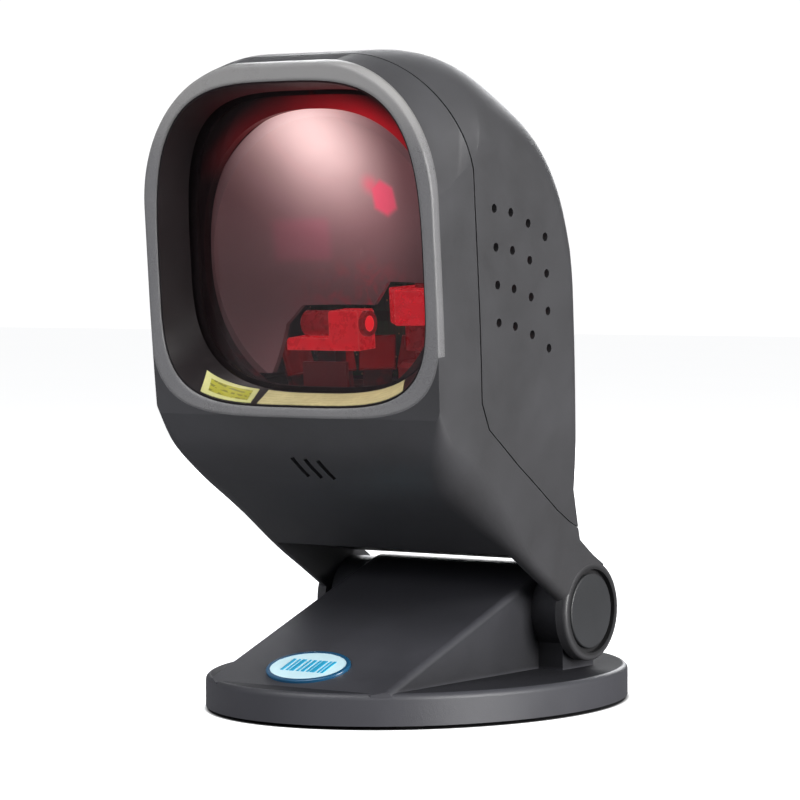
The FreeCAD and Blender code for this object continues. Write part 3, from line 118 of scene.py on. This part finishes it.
class Graph:
    """Writes the node tree of a material or world."""

    PRINCIPLED = {
        "base": "Base Color", "rough": "Roughness", "metal": "Metallic", "normal": "Normal",
        "spec": "Specular IOR Level", "coat": "Coat Weight", "coat_rough": "Coat Roughness",
        "emit": "Emission Color", "emit_strength": "Emission Strength",
    }

    def __init__(self, owner, output="ShaderNodeOutputMaterial"):
        self.owner = owner
        owner.use_nodes = True
        self.tree = owner.node_tree
        self.tree.nodes.clear()
        self.output = self.tree.nodes.new(output)
        self.object_coord = None
        self.next_x = -200

    def node(self, kind, inputs=None, **props):
        node = self.tree.nodes.new(kind)
        self.next_x -= 40
        node.location = (self.next_x, 0)
        for key, prop in props.items():
            setattr(node, key, prop)
        for key, item in (inputs or {}).items():
            self.put(node.inputs[key], item)
        return node

    def value(self, kind, inputs=None, output=0, **props):
        """Add a node and return one of its outputs."""
        return Value(self, self.node(kind, inputs, **props).outputs[output])

    def put(self, socket, item):
        """Link a Value to the socket, or set its number, vector or RGB colour."""
        if isinstance(item, Value):
            self.tree.links.new(item.socket, socket)
        elif socket.type == "RGBA":
            socket.default_value = (*item, 1.0)
        else:
            socket.default_value = item

    def math(self, operation, first, second=0.0):
        inputs = {0: first, 1: second, 2: 0.0}
        return self.value("ShaderNodeMath", inputs, operation=operation)

    def vector(self, operation, inputs, output=0):
        return self.value("ShaderNodeVectorMath", dict(enumerate(inputs)), output,
                          operation=operation)

    def coord(self):
        if self.object_coord is None:
            self.object_coord = self.value("ShaderNodeTexCoord", output="Object")
        return self.object_coord

    def xyz(self, vector=None):
        outputs = self.node("ShaderNodeSeparateXYZ", {0: vector or self.coord()}).outputs
        return [Value(self, socket) for socket in outputs]

    def head_xyz(self):
        """Coordinates in the head's frame."""
        x, y, z = self.xyz()
        y = y - HINGE_Y
        z = z - HINGE_Z
        head_y = y * COS_LEAN + z * SIN_LEAN
        head_z = z * COS_LEAN - y * SIN_LEAN
        return x * MM_PER_M, head_y * MM_PER_M, head_z * MM_PER_M

    def noise(self, scale, detail=2.0, rough=0.5, distort=0.0, vector=None):
        return self.value("ShaderNodeTexNoise", {
            "Vector": vector or self.coord(), "Scale": scale, "Detail": detail,
            "Roughness": rough, "Distortion": distort})

    def mould_grain(self):
        """Fine spark-eroded grain of the mouldings."""
        return self.noise(5200.0, detail=3.0, rough=0.62)

    def voronoi(self, scale):
        return self.value("ShaderNodeTexVoronoi", {"Vector": self.coord(), "Scale": scale})

    def mix(self, factor, first, second):
        return self.value("ShaderNodeMix", {0: factor, 6: first, 7: second}, 2,
                          data_type="RGBA", blend_type="MIX")

    def blob(self, centre, radii):
        """1 at a head-frame point in mm, easing to 0 at radii in metres along object axes."""
        x, y, z = (length / MM_PER_M for length in centre)
        middle = (x, HINGE_Y + y * COS_LEAN - z * SIN_LEAN, HINGE_Z + y * SIN_LEAN + z * COS_LEAN)
        offset = self.vector("SUBTRACT", (self.coord(), middle))
        scaled = self.vector("DIVIDE", (offset, radii))
        return self.vector("LENGTH", (scaled,), "Value").ease(0.0, 1.0, to=(1.0, 0.0))

    def bevel(self, radius, samples):
        return self.value("ShaderNodeBevel", {"Radius": radius}, samples=samples)

    def face_normal(self):
        return self.value("ShaderNodeNewGeometry", output="Normal")

    def edge(self, radius):
        """Mask of edges, where the bevelled normal leaves the face normal."""
        normals = (self.bevel(radius, samples=4), self.face_normal())
        return (1.0 - self.vector("DOT_PRODUCT", normals, "Value")).ramp(0.02, 0.35)

    def bump(self, height, distance, strength, normal=None):
        inputs = {"Strength": strength, "Distance": distance, "Height": height}
        if normal is not None:
            inputs["Normal"] = normal
        return self.value("ShaderNodeBump", inputs)

    def principled(self, **inputs):
        return self.value("ShaderNodeBsdfPrincipled",
                          {self.PRINCIPLED[key]: item for key, item in inputs.items()})

    def diffuse(self, colour):
        return self.value("ShaderNodeBsdfDiffuse", {0: colour})

    def camera_ray(self):
        return self.value("ShaderNodeLightPath", output="Is Camera Ray")

    def mix_shader(self, factor, first, second):
        return self.value("ShaderNodeMixShader", {0: factor, 1: first, 2: second})

    def add_glow(self, shader, colour, strength):
        glow = self.value("ShaderNodeEmission", {0: colour, 1: strength})
        return self.value("ShaderNodeAddShader", {0: shader, 1: glow})

    def finish(self, shader):
        self.put(self.output.inputs[0], shader)
        return self.owner


def new_graph(name):
    return Graph(bpy.data.materials.new(name))


def tone(colour, gain, lift=0.0):
    """The colour scaled and lifted, no channel above 1."""
    return tuple(min(1.0, channel * gain + lift) for channel in colour)


# ------------------------------------------------------------ material families
def paint_base_cover_light_shade(mat, colour, patchy, base, rough):
    """Paint shade into the creases and onto the level top of the base, make the top duller, and
    paint light onto its upright edge so it shows paler.
    """
    crease_shade = mat.value("ShaderNodeAmbientOcclusion", {"Distance": 0.026}, "AO",
                       samples=4, only_local=True)
    # painted shade: darker in the creases, from ambient occlusion
    base = mat.mix(crease_shade.ramp(0.35, 0.95), tone(colour, 0.35), base)
    # masks from the slope of the face and the height above the floor
    normal_z = mat.xyz(mat.face_normal())[2]
    top = normal_z.ease(0.955, 0.995) * mat.xyz()[2].ramp(0.0095, 0.0085)
    wall = abs(normal_z).ramp(0.75, 0.15) * mat.xyz()[2].ramp(0.0086, 0.0076)
    specular = 0.5 - top * 0.46
    # painted shade makes the level top darker
    base = mat.mix(top, base, tone(colour, 0.75))
    rough = (rough + top * 0.25).clamped()
    # painted light makes the upright edge paler
    pale = mat.mix(patchy.vary(), tone(colour, 1.35), tone(colour, 1.62))
    return mat.mix(wall * 0.9, base, pale), rough, specular


def hinge_well_shade(mat, colour, base):
    """Painted shade in the wells round the hinge caps: within 10 mm, beyond 32 mm to each side.
    """
    x, y, z = mat.head_xyz()
    radius = (y * y + z * z).sqrt()
    shaded_well = radius.ease(10.9, 9.9) * abs(x).ramp(32.0, 34.0)
    return mat.mix(shaded_well * 0.8, base, tone(colour, 0.18))


def plastic(name, colour, rough, wear, grain=1.0, painted_base_light=False, painted_hinge_shade=False):
    """Moulding with fine grain, patchy sheen and rubbed edges."""
    mat = new_graph(name)
    fine = mat.mould_grain()
    medium = mat.noise(900.0, detail=4.0, rough=0.55)
    patchy = mat.noise(38.0, detail=5.0, rough=0.6)
    cool = (0.005, 0.0055, 0.0075)  # blue cast of the paler patches
    pale = [channel * 1.12 + lift for channel, lift in zip(colour, cool)]
    base = mat.mix(patchy.patches(), tone(colour, 0.86), pale)
    base = mat.mix(fine.specks(0.55), base, tone(colour, 1.35))

    scratches = mat.noise(260.0, detail=6.0, rough=0.7).ramp(0.45, 0.66)
    rubbed = (mat.edge(radius=0.0006) * scratches * wear).clamped()
    base = mat.mix(rubbed, base, tone(colour, 2.6, lift=0.05))
    sheen = patchy.ramp(0.3, 0.75, to=(rough - 0.07, rough + 0.08))
    sheen = (sheen + fine.vary(-0.05, 0.05) - rubbed * 0.12).clamped()
    normal = mat.bump(fine, distance=0.00006 * grain, strength=0.55)
    normal = mat.bump(medium, distance=0.00008 * grain, strength=0.25, normal=normal)

    specular = 0.5
    # painted light and shade on the base cover
    if painted_base_light:
        base, sheen, specular = paint_base_cover_light_shade(mat, colour, patchy, base, sheen)
    # painted shade in the wells round the hinge caps
    if painted_hinge_shade:
        base = hinge_well_shade(mat, colour, base)
    return mat.finish(mat.principled(base=base, rough=sheen, normal=normal, spec=specular))


def metal(name, colour, rough, stretch=None, bump=1.0):
    """Bare metal; `stretch` scales the grain's axes for a brushed look."""
    mat = new_graph(name)
    if stretch:
        mapped = mat.value("ShaderNodeMapping", {"Vector": mat.coord(), "Scale": stretch})
        grain = mat.noise(900.0, detail=4.0, rough=0.6, vector=mapped)
    else:
        grain = mat.noise(2400.0, detail=3.0, rough=0.6)
    patchy = mat.noise(180.0, detail=4.0, rough=0.6)
    base = mat.mix(patchy.patches(), tone(colour, 0.8), colour)
    base = mat.mix(grain.patches(0.4), base, tone(colour, 1.2))
    sheen = (grain.vary(rough - 0.08, rough + 0.1) + patchy.vary(-0.04, 0.06)).clamped()
    normal = mat.bump(grain, distance=0.00002 * bump, strength=0.5)
    return mat.finish(mat.principled(base=base, metal=1.0, rough=sheen, normal=normal))


def gloss(name, colour, rough, spread=0.06, coat=0.4):
    """Smooth moulding or lacquer with slightly paler edges."""
    mat = new_graph(name)
    patchy = mat.noise(60.0, detail=4.0, rough=0.6)
    fine = mat.noise(3600.0, detail=3.0, rough=0.6)
    base = mat.mix(patchy.patches(), tone(colour, 0.88), tone(colour, 1.06))
    edge = (mat.edge(radius=0.0003) * 0.3).clamped()
    base = mat.mix(edge, base, tone(colour, 1.5, lift=0.05))
    sheen = (patchy.vary(rough - spread, rough + spread) + fine.vary(-0.03, 0.03)).clamped()
    return mat.finish(mat.principled(
        base=base, rough=sheen, coat=coat, coat_rough=0.12,
        normal=mat.bump(fine, distance=0.00002, strength=0.3)))


def red_lit(name, colour, glow, rough=0.3, metallic=0.6):
    """A part standing in the scattered laser light."""
    mat = new_graph(name)
    grain = mat.noise(500.0, detail=4.0, rough=0.6)
    cells = mat.voronoi(300.0)
    light = mat.mix(grain.vary(), (0.78, 0.006, 0.018), (1.0, 0.014, 0.03))
    edge = (mat.edge(radius=0.0005) * 0.7).clamped()
    return mat.finish(mat.principled(
        base=colour, metal=metallic, rough=grain.vary(rough - 0.1, rough + 0.1),
        emit=mat.mix(edge, light, (1.0, 0.22, 0.20)),
        emit_strength=cells.ramp(0.0, 0.8, to=(1.06, 0.86)) * glow,
        normal=mat.bump(grain, distance=0.0001, strength=0.3)))


def film(name, colour, ink=None, ink_amount=0.0):
    """Uneven printed film, with rows of plain print if an ink is given."""
    mat = new_graph(name)
    patchy = mat.noise(160.0, detail=4.0, rough=0.6)
    fine = mat.noise(4200.0)
    base = mat.mix(patchy.patches(), tone(colour, 0.82), tone(colour, 1.06))
    if ink:
        row_pitch = 1.5  # mm along head Y
        rows = mat.math("SINE", mat.head_xyz()[1] * (2 * math.pi / row_pitch))
        words = mat.noise(900.0, detail=1.0, rough=0.4)
        print_mask = rows.ramp(0.05, 0.45) * words.ramp(0.42, 0.5)
        base = mat.mix(print_mask * ink_amount, base, ink)
    return mat.finish(mat.principled(
        base=base, rough=fine.vary(0.34, 0.5), coat=0.15, coat_rough=0.25,
        normal=mat.bump(fine, distance=0.00002, strength=0.3)))


# ------------------------------------------------------------ single materials
def hood():
    """Satin black hood; its ceiling picks up a little of the beam."""
    mat = new_graph("hood_black")
    black = (0.011, 0.009, 0.010)
    fine = mat.mould_grain()
    patchy = mat.noise(60.0, detail=5.0, rough=0.6)
    base = mat.mix(patchy.patches(), tone(black, 0.85), tone(black, 1.25))
    base = mat.mix(fine.specks(0.5), base, tone(black, 1.4))
    x, y, z = mat.head_xyz()
    ceiling = z.ease(112.0, 124.0) * y.ease(-63.0, -53.5, to=(0.15, 1.0))
    shader = mat.principled(
        base=base, rough=patchy.ramp(0.3, 0.75, to=(0.36, 0.50)), spec=0.34,
        normal=mat.bump(fine, distance=0.00004, strength=0.5))
    strength = ceiling * x.ramp(-30.0, 25.0, to=(0.010, 0.055))
    return mat.finish(mat.add_glow(shader, (1.0, 0.02, 0.035), strength))


def rim():
    """Satin grey rim, with painted light making it a touch paler along its upper and lower level
    runs.
    """
    mat = new_graph("rim_satin")
    fine = mat.mould_grain()
    patchy = mat.noise(45.0, detail=5.0, rough=0.6)
    middle_z = 82.2
    # painted light: the upper and lower runs of the rim are paler
    level = abs(mat.head_xyz()[2] - middle_z).ease(22.0, 44.0)
    base = mat.mix(level, (0.140, 0.138, 0.143), (0.270, 0.264, 0.258))
    pale = mat.mix(level, (0.185, 0.183, 0.188), (0.275, 0.270, 0.268))
    base = mat.mix(patchy.patches(0.5), base, pale)
    base = mat.mix(fine.specks(0.3), base, (0.30, 0.30, 0.30))
    edge = (mat.edge(radius=0.0006) * 0.35).clamped()
    base = mat.mix(edge, base, (0.42, 0.42, 0.42))
    sheen = patchy.ramp(0.3, 0.75, to=(0.25, 0.36)) + fine.vary(-0.03, 0.03)
    rounded = mat.bevel(radius=0.0013, samples=6)
    return mat.finish(mat.principled(
        base=base, rough=sheen.clamped(),
        normal=mat.bump(fine, distance=0.00004, strength=0.5, normal=rounded)))


def chassis():
    """Black optics frame; painted glow of the beam spills over it as a crescent above the dish
    and as glints low down.
    """
    mat = new_graph("chassis_black")
    fine = mat.noise(3800.0, detail=3.0, rough=0.6)
    patchy = mat.noise(90.0, detail=4.0, rough=0.6)
    x, _, z = mat.head_xyz()
    from_centre_z = z - 85.6
    radius = (x * x + from_centre_z * from_centre_z).sqrt()
    ring = radius.ease(33.0, 39.5, to=(1.0, 0.0))
    upper = z.ease(102.0, 116.0)
    side = x.ease(-12.0, 26.0, to=(0.16, 1.0))
    crescent = ring * upper * (side * patchy.vary(0.75, 1.1))
    # painted red glints of the beam on the lower part of the frame
    beam_glints = z.ease(70.0, 56.0) * mat.noise(420.0, detail=5.0, rough=0.7).ramp(0.5, 0.68)
    shader = mat.principled(
        base=mat.mix(patchy.vary(), (0.006, 0.004, 0.005), (0.013, 0.008, 0.009)),
        rough=patchy.vary(0.4, 0.6), normal=mat.bump(fine, distance=0.00006, strength=0.5))
    strength = crescent * 0.60 + beam_glints * 0.06
    return mat.finish(mat.add_glow(shader, (1.0, 0.012, 0.03), strength))


def glass():
    """Scan window: thin glass with a faint red tint, wipe marks and dust."""
    mat = new_graph("scan_glass")
    wipe = mat.noise(55.0, detail=5.0, rough=0.62, distort=0.6)
    dust = mat.noise(2600.0)
    clear = mat.value("ShaderNodeBsdfTransparent", {0: (0.93, 0.86, 0.865)})
    smear = wipe.ramp(0.35, 0.7, to=(0.02, 0.07))
    mirror = mat.value("ShaderNodeBsdfGlossy", {"Color": (1, 1, 1), "Roughness": smear})
    fresnel = mat.value("ShaderNodeFresnel", {"IOR": 1.47})
    pane = mat.mix_shader((fresnel * 0.55).clamped(), clear, mirror)
    dusty = dust.ramp(0.60, 0.75, to=(0.0, 0.05)) * wipe.ramp(0.45, 0.7)
    return mat.finish(mat.mix_shader(dusty, pane, mat.diffuse((0.8, 0.78, 0.78))))


def dish():
    """Vacuum-coated collecting mirror lit from inside by the red beam."""
    mat = new_graph("collector_coating")
    x, _, z = mat.head_xyz()
    swirl = mat.noise(70.0, detail=4.0, rough=0.55)

    # broad zones of light and shade
    bright = mat.blob((-5, -44, 115), (0.029, 0.06, 0.028))
    core = mat.blob((-5, -44, 115), (0.017, 0.06, 0.019))
    middle = mat.blob((-1, -40, 101), (0.028, 0.06, 0.028))
    left = x.ease(-8.0, -32.0)
    right = x.ease(6.0, 27.0)
    low = z.ease(98.0, 72.0)
    base = mat.mix(low, (0.36, 0.27, 0.28), (0.10, 0.055, 0.06))
    base = mat.mix(left * 0.6, base, (0.13, 0.10, 0.10))
    base = mat.mix(bright, base, (0.95, 0.86, 0.85))

    # reflections of the scan pattern: a hexagonal spot joined by a round one ...
    across, up = abs(x - 9.5), abs(z - 98.3)
    hexagon = mat.math("MAXIMUM", across * 1.05, across * 0.45 + up * 0.90)
    small_spot = mat.blob((6.2, -44, 101.6), (0.0042, 0.06, 0.0036)) * 0.75
    spot = mat.math("MAXIMUM", hexagon.ease(4.6, 2.9), small_spot)
    # ... a soft rectangle, and wavy streaks low down
    across, up = abs(x + -14.0 * -1.0) if False else abs(x - -14.0), abs(z - 89.0)
    patch = across.ease(7.6, 5.2) * up.ease(5.8, 3.8)
    waves = mat.noise(210.0, detail=4.0, rough=0.6, distort=1.6).ramp(0.46, 0.62)
    streaks = mat.blob((3, -40, 75), (0.024, 0.06, 0.013)) * waves

    light = mat.mix(bright, (0.42, 0.22, 0.235), (1.0, 0.80, 0.77))
    light = mat.mix(patch * 0.45, light, (0.75, 0.16, 0.27))
    light = mat.mix(spot, light, (1.0, 0.09, 0.19))
    light = mat.mix((streaks * 0.9).clamped(), light, (0.95, 0.03, 0.08))

    # strength: the zones, shaded to both sides, then the reflections
    strength = bright * 0.36 + core * 0.42 + middle * 0.44 + low.ramp(0.0, 1.0, to=(0.17, 0.09))
    strength = strength * left.ramp(0.0, 1.0, to=(1.0, 0.62))
    strength = strength * right.ramp(0.0, 1.0, to=(1.0, 0.40))
    strength = strength + spot * 0.30 + patch * 0.03
    strength = strength * swirl.vary(0.92, 1.06) + streaks * 0.07
    sheen = swirl.vary(0.46, 0.56) + mat.noise(2600.0).vary(-0.02, 0.02)
    return mat.finish(mat.principled(
        base=base, metal=0.75, rough=sheen, emit=light, emit_strength=strength,
        normal=mat.bump(swirl, distance=0.0003, strength=0.12)))


def board():
    """Green circuit board: brick-pattern tracks and round pads."""
    mat = new_graph("board_green")
    green = (0.012, 0.075, 0.03)
    tracks = mat.value("ShaderNodeTexBrick", {
        "Vector": mat.coord(), "Scale": 300.0, "Mortar Size": 0.03,
        "Color1": (1, 1, 1), "Color2": (0.75, 0.75, 0.75), "Mortar": (0.2, 0.2, 0.2)})
    pads = mat.voronoi(420.0).ramp(0.10, 0.14, to=(1.0, 0.0))
    base = mat.mix(tracks, tone(green, 0.6), tone(green, 1.5))
    return mat.finish(mat.principled(
        base=mat.mix(pads * 0.8, base, (0.65, 0.55, 0.3)), metal=pads * 0.7,
        rough=mat.noise(3000.0).vary(0.28, 0.42), coat=0.3,
        normal=mat.bump(tracks, distance=0.00003, strength=0.4)))


# ------------------------------------------------------------ pieces
# Each material with the pieces that wear it
LOOKS = (
    # the shells get painted shade round the hinge caps
    (plastic("body_charcoal", (0.0405, 0.0400, 0.0425), rough=0.50, wear=0.35, painted_hinge_shade=True),
     "front_shell rear_shell"),
    # the base cover gets painted shade in its creases and on its top, and painted light on its
    # upright edge
    (plastic("base_charcoal", (0.034, 0.034, 0.039), rough=0.45, wear=0.45, painted_base_light=True),
     "base_cover"),
    (plastic("base_plate_black", (0.018, 0.018, 0.02), rough=0.58, wear=0.2, grain=0.8),
     "base_plate"),
    (plastic("cap_charcoal", (0.029, 0.030, 0.032), rough=0.48, wear=0.5, grain=0.9),
     "hinge_cap_left hinge_cap_right"),
    (plastic("gasket_foam", (0.010, 0.008, 0.009), rough=0.85, wear=0.0, grain=2.0),
     "window_gasket"),
    (plastic("foot_rubber", (0.012, 0.012, 0.012), rough=0.72, wear=0.2, grain=1.6),
     "rubber_feet"),
    (plastic("friction_fibre", (0.10, 0.04, 0.02), rough=0.8, wear=0.0, grain=2.0),
     "friction_washers"),
    (hood(), "window_hood"),
    (rim(), "bezel_rim"),
    (chassis(), "optical_chassis"),
    (glass(), "scan_window"),
    (dish(), "collector_mirror"),
    (board(), "decode_board interface_board"),
    (red_lit("clamp_red_lit", (0.26, 0.008, 0.012), glow=0.50), "laser_clamp"),
    (red_lit("laser_red_lit", (0.16, 0.008, 0.010), glow=0.13), "laser_module"),
    (red_lit("polygon_red_lit", (0.36, 0.02, 0.03), glow=0.50, rough=0.25, metallic=0.9),
     "polygon_mirror"),
    (red_lit("pattern_red_lit", (0.13, 0.006, 0.010), glow=0.075, rough=0.16, metallic=0.95),
     " ".join(f"pattern_mirror_{i}" for i in range(1, 6))),
    (red_lit("hub_red_lit", (0.15, 0.01, 0.014), glow=0.09), "rotor_hub"),
    (red_lit("motor_red_lit", (0.14, 0.01, 0.014), glow=0.06, rough=0.4), "motor_stator"),
    (red_lit("lens_red_lit", (0.9, 0.1, 0.1), glow=0.75, rough=0.1, metallic=0.0), "laser_lens"),
    (red_lit("board_red_lit", (0.018, 0.003, 0.004), glow=0.04, rough=0.45, metallic=0.0),
     "sensor_board motor_board"),
    (red_lit("chip_red_lit", (0.02, 0.008, 0.008), glow=0.03, rough=0.4, metallic=0.0),
     "photodiode"),
    (gloss("chip_epoxy", (0.012, 0.012, 0.013), rough=0.45, spread=0.08, coat=0.0),
     "decoder_chip memory_chips"),
    (gloss("filter_red", (0.30, 0.006, 0.012), rough=0.12), "sensor_filter"),
    (gloss("cap_sleeve", (0.01, 0.02, 0.08), rough=0.25), "capacitors"),
    (gloss("header_nylon", (0.62, 0.60, 0.50), rough=0.4, coat=0.0), "board_headers"),
    (gloss("ribbon_pvc", (0.38, 0.38, 0.40), rough=0.45, coat=0.0), "ribbon_lead"),
    (gloss("jack_moulding", (0.012, 0.012, 0.014), rough=0.3), "interface_jack"),
    (gloss("beeper_case", (0.008, 0.008, 0.009), rough=0.4, coat=0.0), "beeper"),
    (gloss("led_lens", (0.05, 0.35, 0.09), rough=0.15), "power_led"),
    (gloss("acetal", (0.62, 0.60, 0.54), rough=0.35, coat=0.0), "hinge_bushes"),
    (gloss("badge_blue", (0.010, 0.075, 0.16), rough=0.22), "badge_rim"),
    (gloss("badge_white", (0.62, 0.86, 0.93), rough=0.22), "badge_face"),
    (gloss("badge_cyan", (0.03, 0.36, 0.58), rough=0.2), "badge_bars"),
    (metal("can_tin", (0.62, 0.62, 0.60), rough=0.28, stretch=(1, 1, 6)), "shield_can"),
    (metal("contact_gold", (0.83, 0.60, 0.22), rough=0.22), "jack_contacts"),
    (metal("screw_zinc", (0.55, 0.55, 0.56), rough=0.32),
     "base_screws shell_screws chassis_screws board_screws hinge_pins hinge_nuts"),
    (metal("spring_steel", (0.30, 0.30, 0.32), rough=0.38), "spring_washers"),
    (metal("ballast_phosphate", (0.16, 0.16, 0.17), rough=0.55, bump=3.0), "ballast_plate"),
    (film("label_yellow", (0.60, 0.59, 0.25)), "label_border"),
    (film("label_olive", (0.40, 0.38, 0.03), ink=(0.14, 0.13, 0.02), ink_amount=0.8),
     "label_panel"),
    (film("strip_pale", (0.60, 0.53, 0.27), ink=(0.44, 0.38, 0.17), ink_amount=0.5),
     "info_strip"),
    (film("label_silver", (0.52, 0.53, 0.54)), "rating_label"),
)
material_of = {piece: material for material, pieces in LOOKS for piece in pieces.split()}

for name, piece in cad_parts.items():
    if not piece.material_slots:
        piece.data.materials.append(material_of[name])
    for slot in piece.material_slots:
        slot.link = "OBJECT"
        slot.material = material_of[name]


# ------------------------------------------------------------ stage
scene = bpy.context.scene


def add_object(name, data):
    thing = bpy.data.objects.new(name, data)
    scene.collection.objects.link(thing)
    return thing


def floor_material():
    """Near white to the camera, dim to other rays, dark beneath the base."""
    mat = new_graph("floor_pale")
    cloud = mat.noise(6.0, detail=3.0)
    pale = mat.principled(
        base=mat.mix(cloud.vary(), (0.84, 0.84, 0.845), (0.86, 0.86, 0.86)),
        rough=0.7, spec=0.0, emit=(1.0, 1.0, 1.0), emit_strength=0.75)
    # oval shade under the base, by its half width and half depth
    x, y, _ = mat.xyz()
    oval = ((x / 0.0450) ** 2.0 + (y / 0.0563) ** 2.0).sqrt()
    shade = oval.ease(0.985, 1.022, to=(1.0, 0.0))
    seen = mat.mix_shader(shade, pale, mat.diffuse((0.05, 0.05, 0.052)))
    return mat.finish(mat.mix_shader(mat.camera_ray(), mat.diffuse((0.20, 0.20, 0.21)), seen))


def add_floor(half=4):
    mesh = bpy.data.meshes.new("floor")
    corners = [(-half, -half, 0), (half, -half, 0), (half, half, 0), (-half, half, 0)]
    mesh.from_pydata(corners, [], [(0, 1, 2, 3)])
    floor = add_object("floor", mesh)
    mesh.materials.append(floor_material())
    floor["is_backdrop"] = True


def add_world():
    """White to the camera; a dim sky, brighter overhead, to other rays."""
    scene.world = bpy.data.worlds.new("studio")
    sky = Graph(scene.world, "ShaderNodeOutputWorld")
    height = sky.xyz(sky.value("ShaderNodeTexCoord", output="Generated"))[2]
    dim = sky.value("ShaderNodeBackground", {
        "Color": (0.95, 0.97, 1.0), "Strength": height.ease(-0.1, 0.9, to=(0.10, 0.30))})
    white = sky.value("ShaderNodeBackground", {"Color": (1, 1, 1), "Strength": 1.05})
    sky.finish(sky.mix_shader(sky.camera_ray(), dim, white))


def add_light(name, place, aim_z, size, power, colour=(1, 1, 1)):
    """Rectangular light aimed at a height on the Z axis."""
    light = bpy.data.lights.new(name, "AREA")
    light.shape = "RECTANGLE"
    light.size, light.size_y = size
    light.energy = power
    light.color = colour
    lamp = add_object(name, light)
    lamp.location = place
    aim = Vector((0, 0, aim_z)) - Vector(place)
    lamp.rotation_euler = aim.to_track_quat("-Z", "Y").to_euler()
    return lamp


def add_camera():
    azimuth, elevation = math.radians(34.69), math.radians(1.77)
    target, distance = Vector((0, 0, 0.075)), 0.8
    toward = Vector((math.sin(azimuth) * math.cos(elevation),
                     -math.cos(azimuth) * math.cos(elevation),
                     math.sin(elevation)))
    lens = bpy.data.cameras.new("photo_camera")
    lens.sensor_width = 36.0
    lens.lens = 155.23
    lens.shift_x = -0.02454
    lens.shift_y = -0.02761
    lens.clip_start = 0.01
    camera = add_object("photo_camera", lens)
    camera.location = target + toward * distance
    camera.rotation_euler = (-toward).to_track_quat("-Z", "Y").to_euler()
    scene.camera = camera


add_floor()
add_world()
add_light("key_right", (0.85, -0.05, 0.22), aim_z=0.07, size=(0.45, 0.5), power=12.8,
          colour=(1.0, 0.995, 0.985))
front = add_light("front_soft", (-0.15, -0.95, 0.40), aim_z=0.07, size=(0.5, 0.35), power=3.8,
                  colour=(0.95, 0.96, 1.0))
front.visible_glossy = False  # keeps it out of reflections in the window
add_light("top_soft", (-0.15, -0.50, 0.75), aim_z=0.10, size=(0.5, 0.35), power=4.2)
add_light("rear_fill", (-0.45, 0.95, 0.45), aim_z=0.08, size=(0.6, 0.6), power=6.5,
          colour=(0.97, 0.98, 1.0))
add_camera()
scene.view_settings.view_transform = "Standard"

SIZE["before_finish"] = plain(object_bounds())
